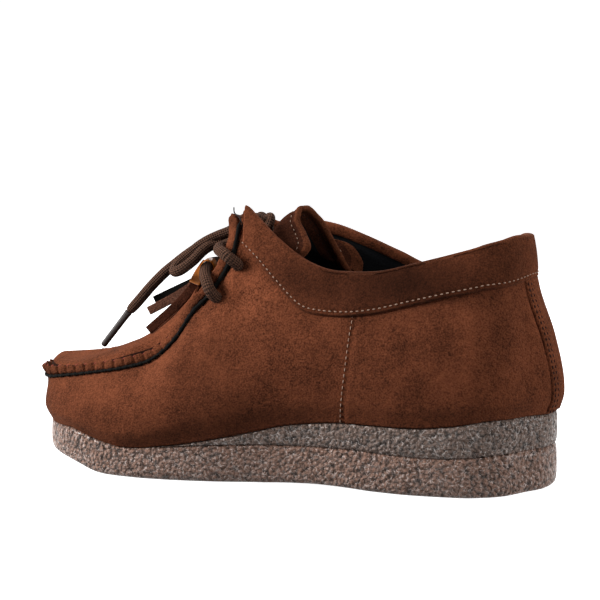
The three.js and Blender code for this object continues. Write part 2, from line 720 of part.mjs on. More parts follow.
// Flat strip through hand-set points; its width stands upright to its run, its thickness along Y.
function strip(points, width, thick) {
  const path = toPoints(points);
  const sideways = new THREE.Vector3(0, 1, 0);
  return sweep(path.map((p, k) => {
    const ahead = path[Math.min(k + 1, path.length - 1)];
    const run = ahead.clone().sub(path[Math.max(k - 1, 0)]);
    const upright = run.cross(sideways).normalize();
    return [[-1, -1], [1, -1], [1, 1], [-1, 1]].map(([a, b]) => p.clone()
      .addScaledVector(upright, a * width / 2)
      .addScaledVector(sideways, b * thick / 2));
  }), false);
}

const FOB_TAB = [[170.9, 7.4, 97.4], [172.4, 7.9, 95.3], [173.8, 8.5, 93], [175.3, 9.2, 89.8]];
const FOB_STRIPS = [
  [[176.4, 7, 89.4], [183.1, 7, 85.9], [189.4, 7, 82.8], [196.4, 7, 79.3]],
  [[176.2, 9.6, 88.4], [182, 10, 84.6], [189.7, 10.5, 80], [198, 11, 75.8]],
  [[175, 12.4, 87.4], [179.8, 13, 82.6], [185.8, 14, 77], [191.9, 14.5, 71.8], [196.7, 15, 67.6]],
];

// Parts in one group
const group = new THREE.Group();
function add(name, geometry, colour, roughness) {
  const material = new THREE.MeshStandardMaterial({ color: colour, roughness, metalness: 0 });
  const mesh = new THREE.Mesh(geometry, material);
  geometry.translate(-ORIGIN.x, -ORIGIN.y, 0);
  mesh.name = name;
  group.add(mesh);
}
add('outsole', outsole, COLOUR.rubber, 0.5);
add('wedge', wedge, COLOUR.rubber, 0.5);
add('insole', insole, COLOUR.lining, 0.9);
add('upper', upper, COLOUR.suede, 0.95);
add('apron', apron, COLOUR.suede, 0.95);
add('tongue', sweep(tongueSections, false), COLOUR.suedeDark, 0.95);
add('collar_band', sweep(bandSections, false), COLOUR.suede, 0.95);
add('heel_stay', sweep(staySections, false), COLOUR.suede, 0.95);
add('seam_lip', sweep(lipSections, false), COLOUR.suede, 0.95);
add('lining_edge', sweep(edgeSections, false), COLOUR.lining, 0.8);
add('lace_bar', tube(lowerBar, LACE_RADIUS, 20), COLOUR.lace, 0.8);
add('lace_strand_near', tube(toPoints(UPPER_STRAND), LACE_RADIUS, 10), COLOUR.lace, 0.8);
add('lace_strand_far', tube(toPoints(mirrored(UPPER_STRAND)), LACE_RADIUS, 10), COLOUR.lace, 0.8);
add('lace_knot', knot, COLOUR.lace, 0.8);
add('lace_end_near', tube(toPoints(NEAR_END), LACE_RADIUS, 12), COLOUR.lace, 0.8);
add('lace_loop_near', tube(toPoints(NEAR_LOOP), LACE_RADIUS, 20), COLOUR.lace, 0.8);
add('lace_end_far', tube(toPoints(FAR_END), LACE_RADIUS, 12), COLOUR.lace, 0.8);
add('lace_loop_far', tube(toPoints(FAR_LOOP), LACE_RADIUS, 24), COLOUR.lace, 0.8);
add('aglet_near', tube(toPoints(NEAR_AGLET), AGLET_RADIUS, 1), COLOUR.aglet, 0.4);
add('aglet_far', tube(toPoints(FAR_AGLET), AGLET_RADIUS, 1), COLOUR.aglet, 0.4);
add('fob_tab', strip(FOB_TAB, 3.2, 1.4), COLOUR.tab, 0.6);
FOB_STRIPS.forEach((points, k) => {
  add(`fob_strip_${k + 1}`, strip(points, 3.2, 1.2), COLOUR.suedeDark, 0.9);
});

export default group;
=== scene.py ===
"""Looks of a moccasin-toe lace shoe in suede-look textile on a two-layer crepe sole."""

import bmesh
import bpy
import numpy as np
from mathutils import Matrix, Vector


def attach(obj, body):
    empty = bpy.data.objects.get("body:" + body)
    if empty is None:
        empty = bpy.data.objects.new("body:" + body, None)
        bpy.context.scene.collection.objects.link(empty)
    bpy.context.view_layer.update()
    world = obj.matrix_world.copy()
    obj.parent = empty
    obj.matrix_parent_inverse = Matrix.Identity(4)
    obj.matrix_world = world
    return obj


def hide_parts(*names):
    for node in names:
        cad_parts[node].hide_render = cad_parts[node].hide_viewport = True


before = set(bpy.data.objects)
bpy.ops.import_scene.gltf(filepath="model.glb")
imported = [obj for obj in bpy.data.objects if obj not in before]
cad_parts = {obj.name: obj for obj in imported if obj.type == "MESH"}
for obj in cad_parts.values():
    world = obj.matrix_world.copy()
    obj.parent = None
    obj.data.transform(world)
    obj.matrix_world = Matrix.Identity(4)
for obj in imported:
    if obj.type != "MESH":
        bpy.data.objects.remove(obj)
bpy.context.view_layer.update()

# Camera, light and floor.
# The camera looks at the inner side from a little behind, as in the photograph, and stands
# 0.6 m away. Soft panels light the shoe from above and from the toe's side.
MM = 0.001
scene = bpy.context.scene
scene.view_settings.view_transform = "Standard"


def aim(thing, place, target):
    """Puts an object at a place in millimetres and turns its -Z axis to a target."""
    thing.location = Vector(place) * MM
    thing.rotation_euler = (Vector(target) - Vector(place)).to_track_quat("-Z", "Y").to_euler()
    scene.collection.objects.link(thing)


camera = bpy.data.objects.new("camera", bpy.data.cameras.new("camera"))
camera.data.sensor_width = 36
camera.data.lens = 75.7
camera.data.clip_start = 0.01
aim(camera, (-165.0, 585.2, 162), (-3.3, 2.2, 82))
scene.camera = camera


def panel(name, place, target, size, power):
    """Square area light of a size in millimetres, aimed at a target."""
    light = bpy.data.lights.new(name, "AREA")
    light.size = size * MM
    light.energy = power
    aim(bpy.data.objects.new(name, light), place, target)


panel("key_panel", (720, 340, 430), (10, 0, 60), 420, 11.5)
panel("top_panel", (120, 100, 900), (0, 0, 0), 700, 2)
panel("heel_panel", (-760, 180, 260), (-60, 0, 60), 500, 4)
panel("rear_panel", (-100, -700, 500), (0, 0, 60), 700, 4)

# The white surround is seen and mirrored, but only the panels light the cloth.
world = bpy.data.worlds.new("studio")
world.use_nodes = True
world.node_tree.nodes["Background"].inputs["Color"].default_value = (1, 1, 1, 1)
world.node_tree.nodes["Background"].inputs["Strength"].default_value = 1.05
world.cycles_visibility.diffuse = False
scene.world = world


class Paint:
    """One socket of a material. Sums and products of values add Math nodes, and node() adds
    any other node with its settings and with what its sockets hold."""

    def __init__(self, tree, socket=None):
        self.tree = tree
        self.socket = socket

    def node(self, kind, settings=None, inputs=None, output=0):
        made = self.tree.nodes.new("ShaderNode" + kind)
        for key, value in (settings or {}).items():
            if key == "stops":
                ramp = made.color_ramp.elements
                while len(ramp) < len(value):
                    ramp.new(0.5)
                for stop, (place, shade) in zip(ramp, value):
                    stop.position = place
                    stop.color = (shade, shade, shade, 1)
            else:
                setattr(made, key, value)
        for key, value in (inputs or {}).items():
            if isinstance(value, Paint):
                self.tree.links.new(value.socket, made.inputs[key])
            else:
                made.inputs[key].default_value = value
        return Paint(self.tree, made.outputs[output])

    def maths(self, operation, first, second=0.0):
        return self.node("Math", {"operation": operation}, {0: first, 1: second})

    def __add__(self, other):
        return self.maths("ADD", self, other)

    def __mul__(self, other):
        return self.maths("MULTIPLY", self, other)

    def __sub__(self, other):
        return self.maths("SUBTRACT", self, other)

    def __rsub__(self, other):
        return self.maths("SUBTRACT", other, self)

    def __pow__(self, other):
        return self.maths("POWER", self, other)

    __radd__ = __add__
    __rmul__ = __mul__

    def sine(self):
        return self.maths("SINE", self)

    def clamp(self):
        return self.node("Clamp", None, {0: self})

    def blend(self, share, first, second):
        """Colour between two colours, by a share from 0 to 1."""
        return self.node("Mix", {"data_type": "RGBA"}, {0: share, 6: first, 7: second}, 2)

    def cloud(self, place, size, detail=2.0):
        """Noise from 0 to 1 whose spots are about a size in millimetres."""
        inputs = {"Vector": place, "Scale": 1 / (size * MM), "Detail": detail}
        return self.node("TexNoise", None, inputs)

    def near(self, place, centre, reach):
        """1 at a place in metres, falling smoothly to 0 at a reach along each axis."""
        inverse = [1 / r for r in reach]
        scaled = self.node("VectorMath", {"operation": "MULTIPLY"}, {0: place, 1: inverse})
        middle = [c / r for c, r in zip(centre, reach)]
        gap = self.node("VectorMath", {"operation": "DISTANCE"}, {0: scaled, 1: middle}, 1)
        return self.node("MapRange", {"interpolation_type": "SMOOTHSTEP"}, {0: gap, 3: 1.0, 4: 0.0})

    def steps(self, value, *stops):
        """Value sent through a ramp of (place, shade) stops."""
        return self.node("ValToRGB", {"stops": stops}, {0: value})

    def bump(self, height, depth, below=None):
        """Normal of a relief whose height runs from 0 to 1 over a depth in millimetres."""
        inputs = {"Height": height, "Distance": depth * MM}
        if below:
            inputs["Normal"] = below
        return self.node("Bump", None, inputs)


def finish(name, **constants):
    """New material: its Principled shader with constants set, and a Paint to feed it."""
    made = bpy.data.materials.new(name)
    made.use_nodes = True
    shader = made.node_tree.nodes["Principled BSDF"]
    for key, value in constants.items():
        shader.inputs[key.replace("_", " ")].default_value = value
    return made, Paint(made.node_tree), shader


def feed(shader, **links):
    """Links each value to the shader input of that name."""
    for key, value in links.items():
        shader.id_data.links.new(value.socket, shader.inputs[key.replace("_", " ")])


def place_of(paint):
    """Object coordinates, in metres."""
    return paint.node("TexCoord", output=3)


floor_finish, paint, shader = finish(
    "floor", Roughness=0.9, Emission_Color=(1, 1, 1, 1), Emission_Strength=0.95,
)
grain = paint.cloud(place_of(paint), 30)
feed(shader, Base_Color=paint.blend(grain, (0.9, 0.9, 0.9, 1), (0.93, 0.93, 0.93, 1)))
bpy.ops.mesh.primitive_plane_add(size=12)
floor = bpy.context.object
floor.name = "floor"
floor.data.materials.append(floor_finish)
floor.visible_diffuse = False

# Outsole.
# Moulded crepe rubber: the lower of two layers, cut to the last's outline, lifted under the
# waist and sprung at the toe. Its wall is pebbled all round and shines where it is worn smooth.
ORIGIN = np.array([127.3, -2.2, 0])

# Upright cuts through the last from the heel's back to the toe: foot of the cut on the long
# axis, its angle from the toe direction, and the sole's reach on the inner and outer side.
RIBS = np.array([
    [31, 180, 31, 31], [31, 157, 29.6, 29.7], [31, 135, 28.2, 28.6], [31, 112, 31.4, 30.8],
    [34, 90, 37, 34.4], [48, 90, 39.2, 36.4], [64, 90, 40, 37.2], [80, 90, 38.6, 37.5],
    [97, 90, 36.7, 38], [112, 90, 36, 39.6], [129, 90, 36.8, 42.2], [139, 90, 38.4, 44],
    [147, 90, 40.3, 45.4], [151, 90, 41.2, 46], [155, 90, 42, 46.6], [160, 90, 42.8, 47.3],
    [164, 90, 43.3, 47.8], [169, 90, 43.9, 48.3], [177, 90, 44.7, 48.9], [188, 89, 45.1, 48.8],
    [199, 84, 44.2, 47.3], [206, 66, 42.3, 44.6], [211, 50, 40.8, 42.2], [213, 36, 39.8, 40.5],
    [213, 18, 40.1, 40.3], [213, 0, 41, 41],
])
TIP_ROW = 12
APRON_ROW = 17

# Heights along the axis: underside, line between the two layers, feather line.
UNDER = np.array([
    [-2, 0], [78, 0], [92, 0.5], [106, 0.8], [120, 0.5], [134, 0], [207, 0], [218, 1],
    [224, 2.6], [233, 4.4], [247, 6], [256, 6.6],
])
LAYER = np.array([
    [-2, 19.9], [14, 19.7], [24, 19.5], [35, 18.6], [50, 17.7], [73, 18.1], [90, 18.8],
    [114, 18.6], [136, 18.2], [160, 17.6], [181, 16], [192, 14.6], [200, 14.4], [210, 15.8],
    [220, 18.1], [231, 20.2], [243, 19.8], [256, 19],
])
FEATHER = np.array([
    [-2, 34.4], [12, 35.3], [27, 35.1], [43, 32.6], [60, 30.9], [73, 30.7], [92, 30.7],
    [110, 29.3], [123, 27.4], [136, 24.3], [148, 21.7], [160, 19.3], [172, 17.2], [181, 16],
    [192, 14.6], [200, 14.4], [210, 15.8], [220, 18.1], [231, 20.2], [243, 19.8], [256, 19],
])


def smooth(xs, ys, x):
    """Cubic through points (xs, ys) whose slopes are held down so that it never swings past
    them. The points may differ from place to place, along a last axis."""
    xs, ys = np.broadcast_arrays(np.asarray(xs, float), np.asarray(ys, float))
    x = np.clip(x, xs[..., 0], xs[..., -1])
    gap = np.diff(xs)
    slope = np.diff(ys) / gap
    before, after = slope[..., :-1], slope[..., 1:]
    mean = (before * gap[..., 1:] + after * gap[..., :-1]) / (gap[..., 1:] + gap[..., :-1])
    limit = 3 * np.minimum(abs(before), abs(after))
    inner = np.where(before * after > 0, np.clip(mean, -limit, limit), 0)
    tangent = np.concatenate([slope[..., :1], inner, slope[..., -1:]], axis=-1)
    i = (x[..., None] > xs[..., 1:-1]).sum(-1)

    def pick(values, k):
        if values.ndim == 1:
            return values[k]
        return np.take_along_axis(values, k[..., None], -1)[..., 0]

    h = pick(gap, i)
    t = (x - pick(xs, i)) / h
    return (
        (1 + 2 * t) * (1 - t) ** 2 * pick(ys, i)
        + t * (1 - t) ** 2 * h * pick(tangent, i)
        + t * t * (3 - 2 * t) * pick(ys, i + 1)
        + t * t * (t - 1) * h * pick(tangent, i + 1)
    )


# Walk round the last: u is 0 at the heel's back, grows along the inner side to the toe, and
# is negative on the outer side. A turn of the cut counts as a walk round a 36 mm bend.
RIB_WALK = np.hypot(np.diff(RIBS[:, 0]), 36 * np.radians(np.diff(RIBS[:, 1])))
RIB_AT = np.concatenate([[0], np.cumsum(RIB_WALK)])
TOE = RIB_AT[-1]


def read(table, column, u):
    """A column of the ribs' table at walk u, the same on both sides."""
    return smooth(RIB_AT, table[:, column], abs(u))


def cut(u):
    """Foot of the cut on the axis and its outward direction, at walk u."""
    angle = np.radians(read(RIBS, 1, u))
    out = np.stack([np.cos(angle), np.sign(u + 1e-9) * np.sin(angle), 0 * angle], -1)
    foot = np.stack([read(RIBS, 0, u), 0 * angle, 0 * angle], -1)
    return foot, out


def sole_reach(u):
    """Reach of the sole from the axis at walk u, inner or outer by its sign."""
    return np.where(u < 0, read(RIBS, 3, u), read(RIBS, 2, u))


def walk_at(x, side):
    """Walk u at which the cut stands at x, on the straight part of the last."""
    rows = slice(4, 20)
    return side * np.interp(x, RIBS[rows, 0], RIB_AT[rows])


def lay(name, points, finishes, around=False, closed=True, ends=False, finish_of=None):
    """Mesh over a grid of points in millimetres (runs, points of a run, 3). Runs join round
    the piece where around is set, each run closes on itself where closed is set, and ends
    fills the first and last run. The UV map counts millimetres along and across."""
    rows, cols = points.shape[:2]
    i, j = np.meshgrid(
        np.arange(rows if around else rows - 1),
        np.arange(cols if closed else cols - 1),
        indexing="ij",
    )
    corners_i = np.stack([i, i + 1, i + 1, i], -1).reshape(-1, 4)
    corners_j = np.stack([j, j, j + 1, j + 1], -1).reshape(-1, 4)
    faces = (corners_i % rows) * cols + corners_j % cols
    looped = np.concatenate([points, points[:1]]) if around else points
    along = np.cumsum(np.linalg.norm(np.diff(looped, axis=0), axis=-1).mean(1))
    looped = np.concatenate([points, points[:, :1]], axis=1)
    across = np.cumsum(np.linalg.norm(np.diff(looped, axis=1), axis=-1).mean(0))
    along = np.concatenate([[0], along])
    across = np.concatenate([[0], across])
    shapes = faces.tolist()
    if ends:
        shapes += [list(range(cols)), list(range((rows - 1) * cols, rows * cols))]
    mesh = bpy.data.meshes.new(name)
    placed = (points.reshape(-1, 3) - ORIGIN) * MM
    mesh.from_pydata(placed.tolist(), [], shapes)
    uv = np.stack([along[corners_i], across[corners_j]], -1).reshape(-1, 2)
    uv = np.concatenate([uv, np.zeros((len(mesh.loops) - len(uv), 2))])
    mesh.uv_layers.new(name="cloth").data.foreach_set("uv", uv.astype(np.float32).ravel())
    for made in finishes:
        mesh.materials.append(made)
    if finish_of is not None:
        table = np.broadcast_to(finish_of, (rows, cols))
        chosen = table[corners_i[:, 0], corners_j[:, 0]].tolist() + [0] * (len(shapes) - len(faces))
        mesh.polygons.foreach_set("material_index", chosen)
    mesh.polygons.foreach_set("use_smooth", [True] * len(shapes))
    return close_up(name, mesh)


def close_up(name, mesh):
    """Welds points that fall together, turns the faces outwards and adds the object."""
    work = bmesh.new()
    work.from_mesh(mesh)
    bmesh.ops.remove_doubles(work, verts=work.verts, dist=1e-6)
    bmesh.ops.recalc_face_normals(work, faces=work.faces)
    work.to_mesh(mesh)
    work.free()
    made = bpy.data.objects.new(name, mesh)
    scene.collection.objects.link(made)
    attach(made, "root")
    return made


def around_last(step):
    """Walks all the way round, about a step apart."""
    return np.linspace(-TOE, TOE, int(2 * TOE / step), endpoint=False)


def sole_slab(u, inset, rim, bottom, top):
    """Closed runs from the axis out along the underside, up the rim and back over the top.
    The rim is a list of [distance inside the outline, share of the height]."""
    foot, out = cut(u)
    full = sole_reach(u) - inset
    flat = [(share, 0.0, 0.0) for share in (0, 0.5, 0.85)]
    edge = [(1.0, inside, share) for inside, share in rim]
    over = [(share, 0.0, 1.0) for share in (0.85, 0.5, 0)]
    runs = []
    for share, inside, height in flat + edge + over:
        p = foot + out * (share * full - inside)[:, None]
        low, high = bottom(p[:, 0]), top(p[:, 0])
        p[:, 2] = low + (high - low) * height
        runs.append(p)
    return np.stack(runs, axis=1)


def profile(table):
    """Smooth height over x through a table of [x, height]."""
    return lambda x: smooth(table[:, 0], table[:, 1], x)


under_z, layer_z, feather_z = profile(UNDER), profile(LAYER), profile(FEATHER)


def crepe(name, base, depth):
    """Brown translucent crepe: pebbles painted lighter on their tops and darker in the gaps as
    painted light and shade, broken pale veins, pale grains over them that stand in for glints as
    painted highlights, and a thin gloss on the raised crumbs."""
    made, paint, shader = finish(
        name, Roughness=0.5, Specular_IOR_Level=0.2, Coat_Roughness=0.15,
    )
    place = place_of(paint)
    wander = paint.cloud(place, 5, 2.0)
    pebble = paint.node(
        "TexVoronoi", {"feature": "F1"},
        {"Vector": place, "Scale": 1 / (2.1 * MM), "Randomness": 1.0},
    )
    crumb = paint.cloud(place, 1.3, 3.0)
    grain = paint.cloud(place, 0.8, 1.0)
    relief = (1 - pebble) * 0.8 + crumb * 0.8
    swirl = paint.maths("ABSOLUTE", paint.cloud(place, 2.3, 1.0) - 0.5)
    vein = paint.steps(swirl, (0.012, 1.0), (0.045, 0.0))
    broken = paint.steps(paint.cloud(place, 2.0, 2.0), (0.44, 0.0), (0.54, 1.0))
    # The pebbles' relief also sets the colour: painted shade in the gaps between pebbles and painted
    # light on their tops.
    tone = paint.steps(relief + wander * 0.3, (0.62, 0.0), (1.28, 1.0))
    # The pale grains are painted glints; the broken veins are the crepe's own.
    pale_veins_and_glints = vein * broken * 0.8 + paint.steps(grain, (0.68, 0.0), (0.78, 0.6))
    dark = tuple(c * 0.22 for c in base) + (1,)
    light = tuple(c * 1.9 for c in base) + (1,)
    grey = tuple(c * 2.0 + 0.32 for c in base) + (1,)
    body = paint.blend(tone, dark, light)
    feed(
        shader,
        Base_Color=paint.blend(pale_veins_and_glints.clamp(), body, grey),
        Coat_Weight=paint.steps(crumb, (0.45, 0.0), (0.65, 0.5)),
        Roughness=paint.steps(crumb, (0.3, 0.6), (0.7, 0.3)),
        Normal=paint.bump(relief, depth),
    )
    return made


outsole_finish = crepe("crepe_lower", (0.135, 0.075, 0.053), 2.6)
outsole_rim = [
    (3.0, 0.0), (1.6, 0.02), (0.7, 0.07), (0.25, 0.15), (0.0, 0.3), (0.0, 0.5), (0.15, 0.7),
    (0.3, 0.86), (0.55, 0.95), (1.1, 1.0),
]
walk = around_last(1.2)
outsole = lay(
    "outsole_crepe",
    sole_slab(walk, 0.0, outsole_rim, under_z, layer_z),
    [outsole_finish],
    around=True,
    closed=False,
)
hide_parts("outsole")

# Wedge.
# The upper crepe layer, cemented on the outsole. It lifts the heel and thins out to nothing
# behind the toes, where the line between the layers ends.
WEDGE_FRONT = 181
wedge_rim = [(1.0, 0.0), (0.45, 0.06), (0.2, 0.16), (0.1, 0.5), (0.2, 0.85), (0.6, 1.0)]
wedge_reach = walk_at(WEDGE_FRONT, 1)
wedge_walk = np.linspace(-wedge_reach, wedge_reach, 400)
# The wedge's crepe has a darker, greyer base than the outsole's: painted shade under the upper's
# overhang.
wedge = lay(
    "wedge_crepe",
    sole_slab(wedge_walk, 0.1, wedge_rim, lambda x: layer_z(x) + 0.05, feather_z),
    [crepe("crepe_wedge", (0.093, 0.06, 0.046), 2.6)],
    closed=False,
)
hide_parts("wedge")

# Insole.
# Black lining cloth over a thin foam sock, glued inside on the sole.
SEAT = 0.45
WALL = 2.0
WELT_INSET = 0.6
INSOLE_THICK = 3.0


def lining_cloth(name):
    """Black tricot: fine ribs on the piece's own map and a soft dull surface."""
    made, paint, shader = finish(name, Roughness=0.9, Specular_IOR_Level=0.1)
    cloth = paint.node("UVMap", {"uv_map": "cloth"})
    rib = paint.node("SeparateXYZ", None, {0: cloth}, 1)
    wave = (rib * 5.5).sine() * 0.5 + 0.5
    speck = paint.cloud(place_of(paint), 0.9, 3.0)
    feed(
        shader,
        Base_Color=paint.blend(speck, (0.004, 0.004, 0.005, 1), (0.018, 0.02, 0.022, 1)),
        Normal=paint.bump(wave * 0.5 + speck * 0.5, 0.15),
    )
    return made


lining_finish = lining_cloth("lining")
insole = lay(
    "insole_sock",
    sole_slab(
        around_last(2.5),
        WELT_INSET + WALL + 0.7,
        [(0.0, 0.0), (0.0, 0.6), (0.3, 0.85), (1.0, 1.0)],
        lambda x: feather_z(x) + SEAT,
        lambda x: feather_z(x) + SEAT + INSOLE_THICK,
    ),
    [lining_finish],
    around=True,
    closed=False,
)
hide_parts("insole")

# Upper.
# Suede-look textile lasted over the foot's shape: one wall round the shoe, lined in black,
# turned in under the sole's edge and left raw at the apron. A seam closes it on each side.
# Heights and reaches of the outer face on each cut: bulge, mid, high, top edge.
WALL_INNER = np.array([
    [44, 32.6, 69.5, 27.8, 92, 20.0, 116.0, 16.2], [44, 31.3, 69.5, 27.0, 92, 19.8, 116.2, 16.4],
    [44, 30.2, 69, 27.0, 92, 21.0, 116.2, 17.6], [44, 33.6, 68, 30.6, 91, 24.8, 115, 20.6],
    [44, 38.6, 66, 35.8, 88, 30.0, 112, 24.8], [43, 40.6, 64, 38.4, 85, 33.0, 107.8, 26.8],
    [42, 41.2, 62, 39.2, 82, 34.0, 103.6, 27.6], [42, 40.0, 61, 38.2, 79, 34.0, 99.8, 27.6],
    [42, 38.4, 60, 36.8, 78, 32.8, 99.2, 26.4], [41, 38.4, 60, 36.4, 80, 30.6, 102.6, 24.2],
    [39, 39.4, 60, 36.0, 84, 28.4, 113, 19.2], [37, 41.2, 60, 35.8, 87, 26.4, 121.4, 16.4],
    [36, 43.0, 60, 36.2, 90, 24.0, 126.2, 15.2], [35, 43.8, 58, 37.0, 82, 27.2, 107.6, 17.6],
    [34, 44.6, 55, 38.2, 76, 29.4, 98.3, 18.8], [33, 45.2, 52, 39.8, 71, 31.5, 90.0, 20.2],
    [32, 45.6, 49, 41.0, 67, 32.4, 84.7, 21.5], [30, 46.2, 46, 42.5, 62, 34.6, 79.6, 23.0],
    [27.5, 47.0, 40, 44.9, 53, 38.2, 66.5, 25.8], [24, 47.2, 33, 46.2, 43.5, 41.0, 55.4, 28.8],
    [23.4, 46.4, 31.5, 45.3, 40.5, 40.6, 50.8, 31.0], [26, 44.6, 33, 43.6, 40, 39.8, 47.4, 32.8],
    [27.6, 43.2, 33, 42.5, 38.6, 40.4, 45.0, 36.0], [28, 42.4, 33, 42.0, 38, 40.9, 43.4, 39.4],
    [28, 42.8, 32.4, 42.3, 37, 41.6, 42.4, 41.6], [28, 43.6, 32, 43.2, 37, 42.4, 42.0, 42.6],
])
WALL_OUTER = np.array([
    [44, 32.6, 69.5, 27.8, 92, 20.0, 116.0, 16.2], [44, 31.4, 69.5, 27.1, 92, 20.0, 115.8, 16.6],
    [44, 30.4, 69, 27.0, 92, 21.2, 115, 17.8], [43, 33.0, 67, 30.4, 88, 24.6, 111.6, 20.4],
    [42, 36.4, 64, 34.0, 83, 29.4, 105.4, 24.4], [41, 38.4, 61, 36.6, 79, 32.4, 98.6, 26.8],
    [41, 39.2, 60, 37.6, 78, 33.6, 97.8, 27.6], [41, 39.4, 60, 37.6, 81, 32.6, 104.2, 26.8],
    [41, 40.0, 60, 37.6, 85, 30.4, 111.8, 24.8], [40, 41.8, 60, 38.2, 86, 29.4, 117.4, 22.6],
    [39, 44.6, 60, 39.0, 88, 27.8, 119.6, 20.0], [37, 46.4, 60, 39.4, 90, 26.0, 118.2, 18.0],
    [36, 47.8, 60, 39.6, 90, 25.0, 121.6, 16.2], [35, 48.4, 58, 40.0, 82, 28.0, 107.6, 17.6],
    [34, 49.0, 55, 41.0, 76, 30.2, 98.3, 18.8], [33, 49.6, 52, 42.4, 71, 32.2, 90.0, 20.2],
    [32, 50.0, 49, 43.6, 67, 33.4, 84.7, 21.5], [30, 50.6, 46, 45.0, 62, 35.8, 79.6, 23.0],
    [27.5, 51.2, 40, 47.8, 53, 39.6, 66.5, 26.0], [24, 51.0, 33, 49.4, 43.5, 42.6, 55.4, 29.2],
    [23.4, 49.6, 31.5, 48.2, 40.5, 42.0, 50.8, 31.8], [26, 47.0, 33, 45.8, 40, 40.8, 47.4, 33.6],
    [27.6, 44.8, 33, 44.0, 38.6, 41.4, 45.0, 36.4], [28, 43.2, 33, 42.6, 38, 41.4, 43.4, 39.6],
    [28, 43.0, 32.4, 42.5, 37, 41.8, 42.4, 41.7], [28, 43.6, 32, 43.2, 37, 42.4, 42.0, 42.6],
])


def wall(u, v):
    """Outer face of the upper: on the cut at walk u, v climbs from 0 at the feather line to 1
    at the top edge, and the reach is the smooth curve through the rows of that cut."""
    u, v = np.broadcast_arrays(np.asarray(u, float), np.asarray(v, float))
    u = (u + TOE) % (2 * TOE) - TOE
    reach = sole_reach(u) - WELT_INSET
    foot, out = cut(u)
    low = feather_z(foot[..., 0] + out[..., 0] * reach) + SEAT

    def row(column):
        return np.where(u < 0, read(WALL_OUTER, column, u), read(WALL_INNER, column, u))

    heights = np.stack([low] + [row(c) for c in (0, 2, 4, 6)], -1)
    reaches = np.stack([reach] + [row(c) for c in (1, 3, 5, 7)], -1)
    z = low + (heights[..., -1] - low) * v
    p = foot + out * smooth(heights, reaches, z)[..., None]
    p[..., 2] = z
    return p


def unit(vectors):
    """Vectors scaled to length 1."""
    return vectors / np.linalg.norm(vectors, axis=-1, keepdims=True)


def wall_frame(u, v):
    """Point, outward normal and upward direction of the outer face."""
    along = wall(u + 0.4, v) - wall(u - 0.4, v)
    up = wall(u, np.minimum(v + 0.01, 1)) - wall(u, np.maximum(v - 0.01, 0))
    return wall(u, v), unit(np.cross(up, along)), unit(up)


def share_at(u, height):
    """Share v of the wall at which it stands at a given height."""
    low, high = wall(u, 0.0)[..., 2], wall(u, 1.0)[..., 2]
    return np.clip((height - low) / (high - low), 0, 1)


def suede(name, base, nap=1.0, painted_light_and_shade=()):
    """Suede-look textile: short nap brushed into cloudy patches, with fine dark pores. Each spot of
    painted light or painted shade has its centre and reach in millimetres, and the share of the tone
    that it adds in its middle as painted light, or takes off as painted shade where the share is
    negative."""
    made, paint, shader = finish(
        name, Roughness=0.95, Specular_IOR_Level=0.05, Sheen_Weight=0.08, Sheen_Roughness=0.4,
        Sheen_Tint=(0.9, 0.38, 0.22, 1),
    )
    place = place_of(paint)
    brushed = paint.cloud(place, 16, 4.0)
    fluff = paint.cloud(place, 2.4, 2.0)
    pore = paint.cloud(place, 0.75, 2.0)
    tone = brushed * 0.75 + fluff * 0.4 + pore * 1.1 - 0.68
    # Each spot scales the tone: painted light where its share is positive, painted shade where it is
    # negative.
    for centre, reach, gain in painted_light_and_shade:
        middle = (np.array(centre) - ORIGIN) * MM
        tone = tone * (paint.near(place, middle, [r * MM for r in reach]) * gain + 1)
    dark = tuple(c * 0.1 for c in base) + (1,)
    light = tuple(c * 2.3 for c in base) + (1,)
    feed(
        shader,
        Base_Color=paint.blend(tone.clamp(), dark, light),
        Normal=paint.bump(pore * 0.8 + fluff * 0.5, 0.6 * nap),
    )
    return made


# The upper's spots are painted light round the throat and the upper vamp, and painted shade low on
# the forepart and at the toe end.
suede_finish = suede("suede", (0.125, 0.037, 0.0165), painted_light_and_shade=[
    ((150, 32, 88), (26, 30, 26), 0.4),
    ((126, 38, 62), (28, 30, 20), 0.2),
    ((134, 28, 90), (26, 40, 24), 0.5),
    ((160, 30, 50), (36, 40, 22), -0.3),
    ((251, 20, 37), (18, 40, 30), -0.35),
    ((222, 30, 36), (30, 30, 24), -0.16),
    ((222, 38, 58), (34, 30, 14), -0.22),
])

EYELETS = [(148.6, 100.6), (158.2, 85)]
SIDE_SEAM = np.array([[79, 88.7], [67, 90.2], [58, 91], [46, 92.2], [32, 93.4]])


def side_seam_x(z):
    """The side seam's line leans forward a little towards the top."""
    return np.interp(z, SIDE_SEAM[::-1, 0], SIDE_SEAM[::-1, 1])


def eyelet_frames():
    """Centre and outward direction of the four eyelets, inner side first."""
    frames = []
    for side in (1, -1):
        for x, height in EYELETS:
            u = walk_at(x, side)
            centre, normal, _ = wall_frame(u, share_at(u, height))
            frames.append((centre, normal))
    return frames


def upper_relief(u, v, p):
    """How far the outer face stands out of the last: the side seam's groove, gathers below the
    apron's edge, dents at the eyelets, and the soft hollows of a lasted cloth."""
    straight = (abs(u) > RIB_AT[4]) & (abs(u) < RIB_AT[12])
    off = p[..., 0] - side_seam_x(p[..., 2])
    groove = -0.55 * np.exp(-((off / 0.7) ** 2)) + 0.25 * np.exp(-(((off + 2.2) / 1.6) ** 2))
    relief = np.where(straight, groove, 0)
    top = wall(u, 1.0)
    down = np.linalg.norm(p - top, axis=-1)
    forward = np.clip((abs(u) - RIB_AT[17]) / 30, 0, 1)
    relief += forward * 0.28 * np.sin(abs(u) * 2 * np.pi / 4.1) * np.exp(-down / 3.2)
    hollow = np.sin(u / 17 + p[..., 2] / 11) * np.sin(p[..., 2] / 19 + u / 31)
    relief += 0.35 * hollow * (v * (1 - v) * 4)
    for centre, _ in eyelet_frames():
        gap = np.linalg.norm(p - centre, axis=-1)
        relief -= 0.5 * np.exp(-((gap / 2.9) ** 2))
    return relief


